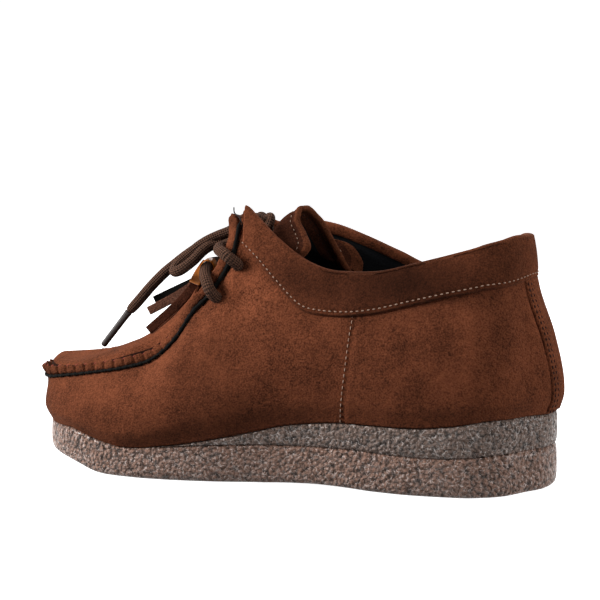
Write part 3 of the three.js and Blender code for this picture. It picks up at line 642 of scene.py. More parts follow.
walk = around_last(1.15)[:, None]
rise = np.concatenate(
    [np.linspace(0, 0.08, 8), np.linspace(0.095, 0.93, 62), np.linspace(0.94, 1, 9)]
)
p, normal, up = wall_frame(walk, rise[None, :])
outer = p + normal * upper_relief(walk, rise[None, :], p)[..., None]
inner = (p - normal * WALL)[:, ::-1]
inner[:, -1, 2] = feather_z(inner[:, -1, 0]) + SEAT
section = np.concatenate([outer, inner], axis=1)
upper = lay(
    "upper_suede",
    section,
    [suede_finish, lining_finish],
    around=True,
    finish_of=(np.arange(section.shape[1]) >= len(rise) + 1).astype(int),
)
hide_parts("upper")

# Side seams and their stitches.
# One row of light thread on each side joins the quarter to the vamp, from the collar band down
# to the sole, beside the groove where the two cloths meet.
PITCH = 2.6


def thread(name, colour):
    """Matt polyester sewing thread with a fine twist."""
    made, paint, shader = finish(name, Roughness=0.7, Specular_IOR_Level=0.1)
    twist = paint.cloud(place_of(paint), 0.4)
    dark = tuple(c * 0.7 for c in colour) + (1,)
    feed(shader, Base_Color=paint.blend(twist, dark, colour + (1,)))
    return made


light_thread = thread("thread_light", (0.52, 0.34, 0.25))
red_thread = thread("thread_red", (0.26, 0.055, 0.032))
dark_thread = thread("thread_dark", (0.035, 0.014, 0.01))
grey_thread = thread("thread_grey", (0.06, 0.055, 0.06))


def spaced(path, pitch, *others):
    """Places along a path at an even pitch; others are arrays read at the same places."""
    walked = np.concatenate([[0], np.cumsum(np.linalg.norm(np.diff(path, axis=0), axis=1))])
    at = np.linspace(0, walked[-1], max(int(walked[-1] / pitch), 1) + 1)

    def read_at(values):
        return np.stack([np.interp(at, walked, column) for column in values.T], -1)

    return [read_at(path)] + [read_at(values) for values in others]


def sew(name, centres, runs, normals, length, radius, made):
    """Stitches as small closed spindles: six-sided rings of radius r * (1 - t^4) at places t
    along the run, arched towards the normal at the middle."""
    t = np.array([-1, -0.75, -0.3, 0.3, 0.75, 1])
    angle = np.arange(6) * np.pi / 3
    ring = radius * (1 - t**4) + 0.02
    runs, normals = unit(runs), unit(normals)
    cross = unit(np.cross(runs, normals))
    normals = np.cross(cross, runs)
    lift = radius * (0.45 - 0.9 * t**2)
    up = lift[:, None] + ring[:, None] * np.sin(angle)
    side = ring[:, None] * np.cos(angle)
    points = (
        centres[:, None, None]
        + runs[:, None, None] * (t[:, None, None] * length / 2)
        + normals[:, None, None] * up[..., None]
        + cross[:, None, None] * side[..., None]
    )
    count, rings = len(centres), len(t)
    i, j = np.meshgrid(np.arange(rings - 1), np.arange(6), indexing="ij")
    j2 = (j + 1) % 6
    quads = np.stack([i * 6 + j, (i + 1) * 6 + j, (i + 1) * 6 + j2, i * 6 + j2], -1).reshape(-1, 4)
    quads = (quads[None] + (np.arange(count) * rings * 6)[:, None, None]).reshape(-1, 4)
    tips = np.array([range(5, -1, -1), range(rings * 6 - 6, rings * 6)])
    tips = (tips[None] + (np.arange(count) * rings * 6)[:, None, None]).reshape(-1, 6)
    mesh = bpy.data.meshes.new(name)
    placed = (points.reshape(-1, 3) - ORIGIN) * MM
    mesh.from_pydata(placed.tolist(), [], quads.tolist() + tips.tolist())
    mesh.materials.append(made)
    mesh.polygons.foreach_set("use_smooth", [True] * len(mesh.polygons))
    sewn = close_up(name, mesh)
    return sewn


def on_wall(u, v, stand):
    """Point that stands out of the upper's finished face by a distance, and its normal."""
    p, normal, _ = wall_frame(u, v)
    return p + normal * (upper_relief(u, v, p) + stand)[..., None], normal


for side, word in ((1, "inner"), (-1, "outer")):
    z = np.linspace(80, 32, 60)
    u = walk_at(side_seam_x(z) + 1.5, side)
    path, normals = on_wall(u, share_at(u, z), 0.05)
    centres, faces = spaced(path, PITCH, normals)
    along_seam = np.gradient(centres, axis=0)
    sew(f"side_stitches_{word}", centres, along_seam, faces, 1.7, 0.2, light_thread)

# Heel stay.
# A patch of the same cloth over the centre-back seam, held by two rows of dark thread near
# each edge. Its top runs under the collar band.
STAY_HALF_WIDTH = 13.5
STAY_THICK = 1.0
stay_v = np.linspace(0.02, 0.76, 60)


def stay_point(reach, v, stand):
    """Point of the patch at a reach in millimetres either side of the centre back."""
    radius = 31 - wall(0.0, v)[..., 0]
    u = 36 * reach / radius
    p, normal, _ = wall_frame(u, v)
    return p + normal * (SEAT + stand)[..., None]


across = np.linspace(-1, 1, 61)
puff = 0.16 * np.sin(np.pi * across * 3) ** 2 - 0.35 * (abs(abs(across) - 0.88) < 0.05)
edge = np.clip((1 - abs(across)) / 0.05, 0, 1) ** 0.5
thick = (STAY_THICK + puff) * edge - 0.45
reach, v = np.meshgrid(across * STAY_HALF_WIDTH, stay_v, indexing="ij")
skin = stay_point(reach, v, np.broadcast_to(thick[:, None], v.shape))
back = stay_point(reach, v, np.full(v.shape, -SEAT - 0.3))[:, ::-1]
stay = lay("heel_stay_suede", np.concatenate([skin, back], axis=1), [suede_finish], ends=True)
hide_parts("heel_stay")
for side, word in ((1, "inner"), (-1, "outer")):
    for inset, row in ((1.7, "a"), (4.2, "b")):
        reach = np.full(stay_v.shape, side * (STAY_HALF_WIDTH - inset))
        path = stay_point(reach, stay_v, np.full(stay_v.shape, STAY_THICK - 0.35))
        (centres,) = spaced(path, PITCH)
        outwards = centres - np.array([31, 0, 0]) * [1, 1, 0] - centres * [0, 0, 1]
        sew(
            f"stay_stitches_{word}_{row}", centres, np.gradient(centres, axis=0), outwards,
            1.6, 0.24, dark_thread,
        )

# Collar band.
# A folded strip of the cloth with thin foam, stitched round the collar with light thread near
# its lower edge and rolled over the top to meet the lining.
BAND_THICK = 1.2
BAND_LOW = np.array([
    [97, 97], [96.8, 96.8], [96, 96], [94.6, 93.5], [92.8, 90], [89.6, 84.5], [85.6, 82.6],
    [81.5, 86.6], [79.6, 92], [80.6, 96.4], [93.2, 101], [102.8, 104], [109.4, 107],
])
BAND_END = RIB_AT[TIP_ROW] - 0.8


def band_low(u):
    """Share v of the wall at the band's lower edge."""
    at = RIB_AT[: TIP_ROW + 1]
    height = np.where(u < 0, smooth(at, BAND_LOW[:, 1], abs(u)), smooth(at, BAND_LOW[:, 0], abs(u)))
    return share_at(u, height)


def band_point(u, share, stand, above=0.0):
    """Point of the band: share runs from its lower edge to the topline, stand is outwards from
    the upper, above is upwards past the point."""
    low = band_low(u)
    p, normal, up = wall_frame(u, low + (1 - low) * share)
    return p + normal * stand + up * above


band_walk = np.linspace(-BAND_END, BAND_END, 420)
body = np.linspace(0.03, 0.95, 26)
dip = -0.45 * np.exp(-(((body - 0.1) / 0.045) ** 2))
turn = np.linspace(0, np.pi, 13)
runs = [(0.0, -0.1, 0.0), (0.0, 0.8, -0.3), (0.012, 1.3, 0.0)]
runs += [(t, SEAT + BAND_THICK + 0.55 * np.sin(np.pi * t) + d, 0.0) for t, d in zip(body, dip)]
runs += [(1.0, -0.75 + 2.5 * np.cos(a), -1.1 + 1.7 * np.sin(a)) for a in turn]
runs += [(1.0, -3.3, -2.2), (1.0, -3.2, -3.6), (1.0, -2.9, -4.6)]
runs += [(1.0, -1.4, -4.7), (1.0, -1.0, -1.0)]
runs += [(0.9, -0.5, 0.0), (0.5, -0.5, 0.0), (0.1, -0.5, 0.0)]
ripple = 0.12 * np.sin(band_walk / 5.3) + 0.1 * np.sin(band_walk / 2.9 + 1)
section = np.stack(
    [band_point(band_walk, share, stand, above) for share, stand, above in runs], axis=1
)
_, swell, _ = wall_frame(band_walk, 0.95)
section[:, 3:29] += (swell * ripple[:, None])[:, None]
peak = np.exp(-(((BAND_END - abs(band_walk)) / 6) ** 2)) * (band_walk > 0) * 1.9
section[:, 14:44, 2] += peak[:, None] * np.sin(np.linspace(0.4, np.pi - 0.4, 30))
# The band's spots are painted shade, darkest at the middle of the inner side, where the band leans
# inwards away from the light.
band_finish = suede("suede_band", (0.125, 0.037, 0.0165), painted_light_and_shade=[
    ((112, 28, 94), (46, 40, 24), -0.5),
    ((66, 27, 95), (60, 44, 30), -0.85),
    ((18, 24, 106), (36, 44, 26), -0.35),
])
band = lay("collar_band_suede", section, [band_finish], ends=True)
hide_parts("collar_band")
inset = 1.9 / np.linalg.norm(wall(band_walk, 1.0) - wall(band_walk, band_low(band_walk)), axis=-1)
low = band_low(band_walk)
path, normals, _ = wall_frame(band_walk, low + (1 - low) * np.minimum(inset, 0.6))
path = path + normals * (SEAT + BAND_THICK - 0.05)
centres, faces = spaced(path, PITCH, normals)
sew("band_stitches", centres, np.gradient(centres, axis=0), faces, 1.35, 0.27, light_thread)

# Seam round the apron.
# The upper's raw edge, painted black, stands under a lip of the cloth that is gathered against
# the apron by whip stitches of reddish thread, one for each pucker.
SEAM_START = RIB_AT[TIP_ROW] + 1.1
PUCKER = 5.4
seam_walk = np.concatenate(
    [np.linspace(SEAM_START, TOE, 500)[:-1], np.linspace(-TOE, -SEAM_START, 500)]
)


def seam_frame(u):
    """Upper's top edge, the wall's outward direction, the direction off the edge along the
    wall, and the lip's direction, which leans outwards from it."""
    edge, face, _ = wall_frame(u, 1.0)
    side = np.where(u < 0, -1, 1)
    behind = side * np.maximum(abs(u) - 1.5, RIB_AT[TIP_ROW])
    run = wall(u + 1.5 * side, 1.0) - wall(behind, 1.0)
    beyond = unit(np.cross(run, face))
    off = (beyond * (edge - wall(u, 0.9))).sum(-1, keepdims=True)
    beyond = np.where(off < 0, -beyond, beyond)
    return edge, face, beyond, unit(beyond + cut(u)[1] * 0.45)


seam_line = wall(seam_walk, 1.0)
seam_walked = np.concatenate([[0], np.cumsum(np.linalg.norm(np.diff(seam_line, axis=0), axis=1))])


def pucker(u):
    """1 at each whip stitch and 0 between them; the gathers fade away towards the throat."""
    turned = np.where(u < 0, u + 2 * TOE, u)
    walked = np.interp(turned, np.where(seam_walk < 0, seam_walk + 2 * TOE, seam_walk), seam_walked)
    fade = np.clip((abs(u) - RIB_AT[15]) / (RIB_AT[18] - RIB_AT[15]), 0.12, 1)
    return fade * abs(np.cos(np.pi * walked / PUCKER)) ** 9


def rounded(angle, power=0.62):
    """Superellipse: cosine and sine raised to a power below one, with their signs kept."""
    c, s = np.cos(angle), np.sin(angle)
    return np.sign(c) * abs(c) ** power, np.sign(s) * abs(s) ** power


def curve_through(points, step=0.8):
    """Centripetal Catmull-Rom curve: each span is blended from lines through its four nearest
    points, spaced by the square root of their distance."""
    points = np.asarray(points, float)
    ends = [2 * points[0] - points[1], 2 * points[-1] - points[-2]]
    p = np.concatenate([ends[:1], points, ends[1:]])
    knots = np.concatenate([[0], np.cumsum(np.linalg.norm(np.diff(p, axis=0), axis=1) ** 0.5)])
    spans = []
    for k in range(1, len(p) - 2):
        count = max(int(np.linalg.norm(p[k + 1] - p[k]) / step), 2)
        t = np.linspace(knots[k], knots[k + 1], count, endpoint=False)[:, None]

        def line(a, b, from_a, from_b):
            return a * (knots[from_b] - t) / (knots[from_b] - knots[from_a]) + b * (
                t - knots[from_a]
            ) / (knots[from_b] - knots[from_a])

        first = line(p[k - 1], p[k], k - 1, k)
        middle = line(p[k], p[k + 1], k, k + 1)
        last = line(p[k + 1], p[k + 2], k + 1, k + 2)
        before = line(first, middle, k - 1, k + 1)
        after = line(middle, last, k, k + 2)
        spans.append(line(before, after, k, k + 1))
    return np.concatenate(spans + [points[-1:]])


def tube(name, path, radius, made, sides=18, closed_path=False):
    """Round section carried along a path; its frame turns as little as it can, and an open
    end is rounded off over half a radius."""
    run = unit(np.gradient(path, axis=0))
    side = [unit(np.cross(run[0], [0.3, 0.2, 1.0]))]
    for direction in run[1:]:
        side.append(unit(side[-1] - direction * (side[-1] @ direction)))
    side = np.array(side)
    other = np.cross(run, side)
    angle = np.linspace(0, 2 * np.pi, sides, endpoint=False)
    radius = np.broadcast_to(radius, (len(path),)).copy()
    if not closed_path:
        radius[[0, -1]] *= 0.7
    around = side[:, None] * np.cos(angle)[:, None] + other[:, None] * np.sin(angle)[:, None]
    points = path[:, None] + around * radius[:, None, None]
    piece = lay(name, points, [made], around=closed_path, ends=not closed_path)
    return piece


edge_at, face_at, beyond_at, lip_at = (x[:, None] for x in seam_frame(seam_walk))
pinch = pucker(seam_walk)[:, None]
wobble = (0.16 * np.sin(seam_walk * 2.1) + 0.1 * np.sin(seam_walk * 5.3 + 1))[:, None]
angle = np.linspace(0, 2 * np.pi, 20, endpoint=False)[None]
c, s = rounded(angle)
taper = np.clip(np.minimum(seam_walked, seam_walked[-1] - seam_walked) / 2.5, 0.25, 1)[:, None]
throat = np.clip(1 - (abs(seam_walk) - RIB_AT[TIP_ROW]) / 60, 0, 1)[:, None]
wide = -0.05 + 1.55 * c * (1 - 0.12 * pinch) - 0.7 * pinch * (c > 0) + 0.3 * wobble * c
high = 2.3 + 0.4 * throat + (2.05 + 0.4 * throat) * s * taper
high += (0.4 * wobble - 0.7 * pinch) * np.clip(s, 0, 1)
high += 1.6 * np.exp(-((np.minimum(seam_walked, 20) / 6) ** 2))[:, None] * np.clip(s, 0, 1)
lip = lay(
    "seam_lip_suede",
    edge_at + face_at * wide[..., None] + lip_at * high[..., None],
    [suede_finish],
    ends=True,
)
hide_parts("seam_lip")

painted, paint, shader = finish("painted_edge", Roughness=0.85, Specular_IOR_Level=0.06)
flake = paint.cloud(place_of(paint), 1.0, 3.0)
feed(
    shader,
    Base_Color=paint.blend(flake, (0.001, 0.001, 0.001, 1), (0.009, 0.008, 0.007, 1)),
    Normal=paint.bump(flake, 0.3),
)
swollen = 0.5 + 0.4 * throat + 0.8 * wobble
from_end = np.minimum(seam_walked, seam_walked[-1] - seam_walked)[:, None]
swollen = swollen * np.clip((from_end - 2.5) / 3, 0.12, 1)
c, s = rounded(np.linspace(0, 2 * np.pi, 12, endpoint=False)[None], 0.8)
wide = 0.95 + swollen * c
high = -0.75 - 0.25 * throat + (swollen + 0.15) * s * taper
black_edge = lay(
    "painted_edge",
    edge_at + face_at * wide[..., None] + beyond_at * high[..., None],
    [painted],
    ends=True,
)
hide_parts("lining_edge")

walked = np.arange(PUCKER, seam_walked[-1], PUCKER)
turned = np.interp(walked, seam_walked, np.where(seam_walk < 0, seam_walk + 2 * TOE, seam_walk))
u = np.where(turned > TOE, turned - 2 * TOE, turned)
u = u[abs(u) > RIB_AT[15]]
edge_at, face_at, beyond_at, lip_at = seam_frame(u)
run = unit(wall(u + 1, 1.0) - wall(u - 1, 1.0))
centres = edge_at + lip_at * 4.6 - face_at * 0.8
slant = run - lip_at * 0.4
sew("whip_stitches", centres, slant, lip_at + face_at * 0.8, 2.9, 0.42, red_thread)

loose = curve_through([
    [146.8, 16, 114.6], [147.6, 17, 119], [148.9, 17.2, 122.6], [151.4, 17, 124.8],
    [151.8, 16.6, 127.4],
], 0.5)
tube("loose_thread", loose, 0.3, grey_thread, sides=8)

# Apron.
# The raised toe piece inside the lip: it rises straight from the seam, turns over a soft
# shoulder and domes to the middle, and goes on as the tongue under the lace.
CROWN = np.array([
    [160, 103], [169, 94], [176, 87], [182, 80], [188, 73.6], [193, 68.4], [199, 63.8],
    [206, 59.8], [213, 57.4],
])
APRON_SIDE = 8.5
CORNER_DROP = 2.8
APRON_THICK = 1.8
crown_z = profile(CROWN)
apron_start = RIB_AT[APRON_ROW]
u = np.concatenate(
    [np.linspace(apron_start, TOE, 190)[:-1], np.linspace(-TOE, -apron_start, 190)]
)
edge_at, face_at, beyond_at, lip_at = seam_frame(u)
foot_at, out_at = cut(u)
foot = edge_at - face_at * 2.3 + lip_at * 0.4
height = APRON_SIDE - CORNER_DROP * abs(2 * out_at[:, :1] * out_at[:, 1:2])
shoulder = foot + unit(beyond_at + [0, 0, 1]) * height
bend = 0.5 + 1.5 * abs(out_at[:, 1]) ** 4


def dome(share):
    """From the axis (share 0) to the shoulder (1): level ground plan, height falling with a
    power of the share."""
    p = foot_at + (shoulder - foot_at) * share
    p[:, 2] = shoulder[:, 2] + (crown_z(foot_at[:, 0]) - shoulder[:, 2]) * (1 - share**bend)
    return p


def bow(first, corner, last, t):
    """Quadratic curve that leaves first and reaches last, drawn towards the corner."""
    return first * (1 - t) ** 2 + corner * 2 * t * (1 - t) + last * t * t


side_top, top_rim = foot + (shoulder - foot) * 0.5, dome(0.86)
pull = pucker(u)
# The lower part of the apron's side and its underside get a near-black copy of the suede: painted
# shade in the trench above the seam lip.
trench_shade_finish = suede("suede_trench_shade", (0.014, 0.005, 0.003))
top = [dome(share) for share in np.linspace(0, 0.86, 28)]
top += [bow(top_rim, shoulder, side_top, t) for t in np.linspace(0.1, 1, 10)]
top += [foot + (shoulder - foot) * (0.5 - t) for t in np.linspace(0.06, 0.5, 12)]
depth = np.concatenate([np.zeros(28), np.linspace(0, 1, 10) ** 1.5 * 0.3, np.linspace(0.3, 1, 12)])
top = np.stack(top, axis=1)
top -= out_at[:, None] * (0.75 * pull[:, None] * depth[None])[..., None]
inward = np.clip((np.arange(50) - 25) / 16, 0, 1)[None, :, None]
under = top - out_at[:, None] * inward * APRON_THICK - (1 - inward) * [0, 0, 1.35 * APRON_THICK]
in_painted_shade = np.arange(100) >= 33
apron = lay(
    "apron_suede", np.concatenate([top, under[:, ::-1]], axis=1), [suede_finish, trench_shade_finish],
    closed=False, ends=True, finish_of=in_painted_shade.astype(int),
)
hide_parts("apron")

# Tongue.
# Cloth outside and black lining inside, faced with the cloth for 9 mm along its edge and
# stitched there with light thread. Its top folds over, with a lobe on the outer side.
TONGUE_THICK = 1.7
TONGUE_ROWS = np.array([
    [168.2, 94.4, 18.6, 14], [159, 101.8, 16.6, 13], [150, 107.4, 15.6, 12],
    [142, 111.2, 15, 10], [136, 114.6, 15, 9],
])
TONGUE_EDGE = np.array([
    [121, 14.5, 101.5], [115.4, 13.6, 109], [119.1, 9, 115.7], [122.8, 5.5, 121.5],
    [122.6, 2.8, 125.9], [119.6, 0.4, 127], [116.2, -3, 123.4], [113.2, -6, 119],
    [109.7, -10, 110.6],
    [106.1, -14, 102], [102.7, -17, 94.9], [99.5, -19.2, 92.8], [98, -21, 98],
    [103, -21.2, 106.5], [111.5, -20.6, 110],
])


def tongue_middle(across, along):
    """Arched rows under the lace (x, crown height, half width, drop), then a straight run from
    the last row to the folded top edge."""
    across, along = np.broadcast_arrays(across, along)
    reach = np.clip(along, 0, 1) * len(TONGUE_ROWS)
    last = len(TONGUE_ROWS) - 1
    rows = np.arange(last + 1)
    x, crown, half, drop = (smooth(rows, c, np.minimum(reach, last)) for c in TONGUE_ROWS.T)
    share = 1 - 2 * across
    arch = np.stack([x, half * share, crown - drop * abs(share) ** 2.2], -1)
    places = np.linspace(0, 1, len(TONGUE_EDGE))
    top = np.stack([smooth(places, c, across) for c in TONGUE_EDGE.T], -1)
    share = np.clip(reach - last, 0, 1)[..., None]
    bulge = np.sin(np.pi * share) * [1.5, 0, 1.4]
    return arch + (top - arch) * share + bulge


def tongue_point(across, along, stand):
    """Point at a distance from the tongue's middle sheet, and the sheet's normal there: the
    cross product of the steps to the neighbours along and across."""
    d = 0.01
    right = tongue_middle(np.minimum(across + d, 1), along)
    left = tongue_middle(np.maximum(across - d, 0), along)
    upper = tongue_middle(across, np.minimum(along + d, 1))
    lower = tongue_middle(across, np.maximum(along - d, 0))
    a, b = right - left, upper - lower
    normal = unit(np.cross(b, a))
    return tongue_middle(across, along) + normal * np.asarray(stand)[..., None], normal


across = np.linspace(0, 1, 220)[:, None]
along = np.concatenate([np.linspace(0, 0.8, 30), np.linspace(0.81, 1, 40)])
thin = np.clip(np.minimum(across, 1 - across) / 0.012, 0.2, 1) ** 0.5 * TONGUE_THICK / 2
swell = 0.75 * np.exp(-(((along - 0.987) / 0.012) ** 2))[None]
hem = -0.25 * np.exp(-(((along - 0.958) / 0.01) ** 2))[None]
front, _ = tongue_point(across, along[None], (thin + swell + hem) * np.ones((1, len(along))))
rear, _ = tongue_point(across, along[None], -(thin + swell + hem) * np.ones((1, len(along))))
lengthen = unit(tongue_middle(across, 1.0) - tongue_middle(across, 0.97))
tip = tongue_middle(across, 1.0) + lengthen * 0.5
section = np.concatenate([front, tip, rear[:, ::-1]], axis=1)
place_along = np.concatenate([along, [1.0], along[::-1]])
inside = np.arange(len(place_along)) > len(along)
parts = np.where(inside & (place_along < 0.925), 1, 0)
parts[place_along > 0.971] = 2
# The tongue's face gets a darker copy of the suede as painted shade, and its rolled rim a lighter
# copy as painted light, where light falls on its top.
tongue_shaded_finish = suede("suede_tongue_shaded", (0.05, 0.0155, 0.008))
rim_lit_finish = suede("suede_rim_lit", (0.1, 0.031, 0.014))
tongue = lay(
    "tongue_suede", section, [tongue_shaded_finish, lining_finish, rim_lit_finish], ends=True, finish_of=parts,
)
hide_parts("tongue")
places = np.linspace(0.01, 0.99, 300)
TONGUE_STITCH_LINE = 0.955
STITCH_SUNK = 0.1
stitch_line = np.full(300, TONGUE_STITCH_LINE)
reach = TONGUE_THICK / 2 - STITCH_SUNK
for stand, word, made in ((1, "front", light_thread), (-1, "rear", dark_thread)):
    path, normals = tongue_point(places, stitch_line, np.full(300, stand * reach))
    centres, faces = spaced(path, PITCH, normals * stand)
    sew(f"tongue_stitches_{word}", centres, np.gradient(centres, axis=0), faces, 1.2, 0.2, made)

# Lace.
# Round braided cord, dark brown. It crosses as a bar at the lower eyelets, runs inside from
# each lower eyelet to the upper one and comes out over the lip to the bow's knot.
LACE_RADIUS = 2.35
BAR_SEEN_RADIUS = 2.8
END_SEEN_RADIUS = 2.6
BRAID = 2 * np.pi * 2.7 / 8
LOWER_BAR = np.array([
    [158.4, 27, 85.6], [160.4, 27.6, 89], [162.4, 26, 92.4], [164.4, 22.6, 94.6],
    [166.2, 17.6, 96], [167.8, 11.6, 97.4], [168, 5.8, 98.6],
])
UPPER_STRAND = np.array([
    [149, 23.6, 101.4], [151.8, 24.6, 104.2], [155.4, 22.6, 106.2], [158.8, 18.4, 107.2],
    [159.4, 13.8, 108], [157.6, 11.2, 108.8], [154, 10.2, 110.4], [149.8, 8.6, 112.4],
])
KNOT_CENTRE = np.array([143.2, -1, 118.5])
KNOT_HALF = np.array([7.5, 9.8, 5.6])
MIRROR = np.array([1, -1, 1])

lace_finish, paint, shader = finish("braided_lace", Roughness=0.85, Specular_IOR_Level=0.12)
cloth = paint.node("UVMap", {"uv_map": "cloth"})
run = paint.node("SeparateXYZ", None, {0: cloth}, 0) * 2.9
turn = paint.node("SeparateXYZ", None, {0: cloth}, 1) * (2 * np.pi / BRAID)
strand = (turn + run).sine() * (turn - run).sine()
weave = strand * 0.5 + 0.5
fuzz = paint.cloud(place_of(paint), 1.1, 3.0)
feed(
    shader,
    Base_Color=paint.blend(
        (weave * 0.9 + fuzz * 0.9 - 0.45).clamp(), (0.01, 0.0045, 0.003, 1), (0.17, 0.08, 0.048, 1)
    ),
    Normal=paint.bump(weave * 0.8 + fuzz * 0.4, 0.9),
)


inside_out = eyelet_frames()
half = []
for k, (centre, normal) in enumerate(inside_out[:2]):
    half.append([centre - normal * 5.0, centre + normal * 0.5])
strand_in = [half[0][1], half[0][0] + [1.5, 0.5, -1.5]]
bar_out = [half[1][0] + [-1.0, 0.5, 1.5], half[1][1]]
inner_half = np.concatenate([UPPER_STRAND[:0:-1], strand_in, bar_out, LOWER_BAR[1:]])
outer_half = (inner_half * MIRROR)[::-1]
(upper_hole, upper_out), (lower_hole, lower_out) = inside_out[2:]
outer_half[len(LOWER_BAR) - 1:len(LOWER_BAR) + 3] = [
    lower_hole + lower_out * 0.5,
    lower_hole - lower_out * 5.0 + [-1.0, -0.5, 1.5],
    upper_hole - upper_out * 5.0 + [1.5, -0.5, -1.5],
    upper_hole + upper_out * 0.5,
]
lace_route = np.concatenate(
    [[[146, 5, 115]], inner_half, [[168.1, 0, 99]], outer_half, [[146, -6, 115]]]
)
lace = tube("lace_run", curve_through(lace_route), BAR_SEEN_RADIUS, lace_finish)
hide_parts("lace_bar", "lace_strand_near", "lace_strand_far")

t = np.linspace(0, 2 * np.pi, 160, endpoint=False)
trefoil = np.stack(
    [np.sin(t) + 2 * np.sin(2 * t), np.cos(t) - 2 * np.cos(2 * t), -np.sin(3 * t)], -1
)
trefoil = KNOT_CENTRE + trefoil * (KNOT_HALF - LACE_RADIUS) / [3, 3, 1]
wraps = np.concatenate([trefoil, trefoil[:2]])[:-1]
knot = tube("lace_knot_wraps", wraps, LACE_RADIUS, lace_finish)
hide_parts("lace_knot")

# Bow.
# Two loops and two ends leave the knot and hang over the apron and the outer side; each end is
# closed by a dark plastic tip.
NEAR_END = [
    [151, -0.6, 117.6], [155.4, 0, 115.6], [159.7, 1, 113.6], [164.4, 2, 111.7], [169.1, 3, 109.5],
    [173.6, 4, 107.2], [177.9, 5, 104.4], [182.2, 6, 101.2], [186.1, 7, 98], [190, 8, 94.8],
    [194, 8.5, 91], [198.3, 9, 86.5], [201.1, 9.5, 83.2], [204.1, 10, 79.7], [208.8, 10.5, 74.6],
]
NEAR_LOOP = [
    [151, 4.6, 118.6], [154.6, 5.2, 116.8], [158, 5.8, 114.9], [162.7, 6.8, 113], [167.4, 8, 110.8],
    [171.9, 9, 108], [175.3, 9.8, 105.2], [178.7, 10.8, 102.2], [181.4, 12.2, 99.5],
    [182.6, 14.6, 97.2], [181.6, 17.4, 96], [178.6, 18.8, 96.8], [175.4, 18, 99],
    [172.4, 15.8, 101.8],
    [169.6, 12.6, 105.4], [166.6, 9.6, 107.9], [163.4, 7.2, 108.9], [160.2, 5.4, 109.4],
    [156.8, 4.4, 110.8], [153, 3.8, 112.2], [150, 3.4, 113.4],
]
FAR_END = [
    [150.9, -5, 121.4], [154.6, -5, 119.9], [157.4, -5.8, 117], [160, -7.2, 114],
    [163, -9.4, 111.6], [166.2, -12.2, 108.9], [168.6, -16.8, 105.2], [170, -21.6, 101.4],
    [170.8, -25.4, 95.4], [171.1, -27.6, 89.6], [171.4, -29.4, 83.6], [171.6, -31.6, 77.4],
    [171.8, -34.6, 71.6], [172, -36.2, 68.8], [172.2, -38, 66],
]
FAR_LOOP = [
    [150.8, -5.3, 115.9], [153.6, -8.3, 116], [156.2, -11.6, 114.8], [159, -14.8, 113.3],
    [161.8, -19, 112], [164, -23.8, 108.2], [165.2, -28, 101.8], [165.6, -30.9, 95],
    [165.6, -32.6, 87.8], [165, -33.8, 80.6], [163.8, -36, 74.8], [161.4, -38.4, 70],
    [158, -39.4, 68.4], [155, -38.2, 70.4], [153.6, -35.6, 75.4], [153.2, -32.6, 81.2],
    [153.2, -30.4, 87.4], [153.4, -29.2, 93.6], [154, -29.2, 100], [155.2, -28.9, 106.6],
    [157.2, -25.2, 111.8], [158, -19.8, 115.6], [156.4, -14.6, 118.6], [153.6, -11.8, 120],
    [150.6, -9.8, 120.4],
]
NEAR_TIP = [[208.6, 10.5, 74.8], [222.8, 11, 57.1]]
FAR_TIP = [[172.1, -37.8, 66.6], [174.6, -47.2, 46.8]]

tip_finish, paint, shader = finish("lace_tip_plastic", Roughness=0.45, Specular_IOR_Level=0.2)
scuff = paint.cloud(place_of(paint), 3, 3.0)
feed(
    shader,
    Base_Color=paint.blend(scuff, (0.014, 0.009, 0.008, 1), (0.042, 0.03, 0.026, 1)),
    Roughness=paint.steps(scuff, (0.3, 0.25), (0.7, 0.5)),
)


def lace_tip(name, ends, node):
    """Plastic tip: a thin sleeve, a little wider where it grips the braid."""
    share = np.linspace(0, 1, 40)[:, None]
    start, stop = np.array(ends)
    radius = 1.7 + 0.2 * np.exp(-((share[:, 0] * 9) ** 2)) - 0.12 * share[:, 0]
    piece = tube(name, start + (stop - start) * share, radius, tip_finish)
    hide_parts(node)
    return piece


def free_lace(name, points, node, far_end):
    """One free length of the lace. Where it goes into a tip its radius shrinks by 0.3 exp(-distance
    left / 1.5 mm)."""
    path = curve_through(points)
    left = np.linalg.norm(path - path[-1], axis=1)
    radius = END_SEEN_RADIUS * (1 - (0.3 * np.exp(-left / 1.5) if far_end == "fitting" else 0 * left))
    piece = tube(name, path, radius, lace_finish)
    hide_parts(node)
    line = (path - ORIGIN) * MM


near_tip = lace_tip("lace_tip_near", NEAR_TIP, "aglet_near")
far_tip = lace_tip("lace_tip_far", FAR_TIP, "aglet_far")
free_lace("bow_end_near", NEAR_END, "lace_end_near", "fitting")
free_lace("bow_loop_near", NEAR_LOOP, "lace_loop_near", "object")
free_lace("bow_end_far", FAR_END, "lace_end_far", "fitting")
free_lace("bow_loop_far", FAR_LOOP, "lace_loop_far", "object")
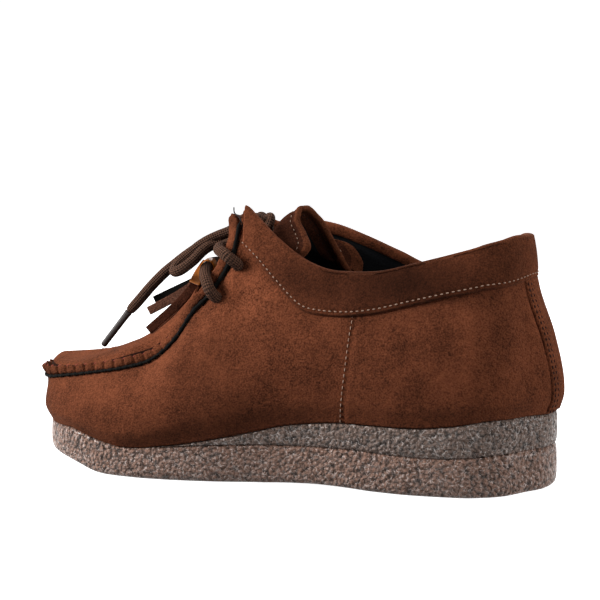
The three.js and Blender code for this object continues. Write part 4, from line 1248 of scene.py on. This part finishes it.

# Fob.
# An orange leather-look tab looped on the lower bar, with three cut strips under it: two with the
# cloth on one face and a black back on the other, and one black on both faces.
FOB_TAB = [
    [168.6, 7, 99.6], [170.4, 8.8, 96.8], [171.9, 11, 93.6], [173.2, 13.2, 90],
]
FOB_STRIPS = [
    [[173.4, 7.2, 91.4], [176.4, 7, 89.8], [183.1, 7, 86.6], [189.4, 7, 83.6], [196.4, 7, 80.2]],
    [[173.6, 9.4, 90.8], [176.2, 9.6, 88.2], [182, 10, 84.2], [189.7, 10.5, 79.8], [198, 11, 75.4]],
    [
        [172.8, 11.6, 90.4], [175, 12.4, 87.4], [179.8, 13, 81.8], [185.8, 14, 76],
        [191.9, 14.5, 70.6], [196.7, 15, 66.4],
    ],
]
tab_finish, paint, shader = finish("orange_tab", Roughness=0.45, Coat_Weight=0.2)
grain = paint.cloud(place_of(paint), 1.2, 3.0)
feed(
    shader,
    Base_Color=paint.blend(grain, (0.85, 0.2, 0.015, 1), (1, 0.34, 0.05, 1)),
    Normal=paint.bump(grain, 0.25),
)


def strap(name, points, width, thick, finishes, node):
    """Flat band along a curve: a rounded oblong section whose width stands upright to the run
    and whose thickness lies sideways, the near face in one finish and the far in another."""
    path = curve_through(points, 0.6)
    run = unit(np.gradient(path, axis=0))
    sideways = np.array([0, 1.0, 0])
    upright = unit(np.cross(run, sideways))
    angle = np.linspace(0, 2 * np.pi, 24, endpoint=False)
    c, s = rounded(angle, 0.35)
    points = (
        path[:, None]
        + upright[:, None] * (c * width / 2)[:, None]
        + sideways * (s * thick / 2)[:, None]
    )
    face = (s < 0).astype(int) * (len(finishes) - 1)
    piece = lay(name, points, finishes, ends=True, finish_of=face)
    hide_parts(node)


strip_finish = suede("suede_strip", (0.12, 0.05, 0.032))
TAB_WIDTH, TAB_THICK = 5.4, 1.6
STRIP_WIDTH, STRIP_THICK = 4.3, 1.2
strap("fob_tab_orange", FOB_TAB, TAB_WIDTH, TAB_THICK, [tab_finish], "fob_tab")
wrap = curve_through([[168, 3.6, 98.8], [168, 6, 98.6], [167.9, 9.4, 98]], 0.5)
tube("fob_tab_wrap", wrap, 3.3, tab_finish)
for k, (points, finishes) in enumerate(
    zip(FOB_STRIPS, ([painted, painted], [strip_finish, painted], [tongue_shaded_finish, painted]))
):
    strap(
        f"fob_strip_cloth_{k + 1}", points, STRIP_WIDTH, STRIP_THICK, finishes,
        f"fob_strip_{k + 1}",
    )
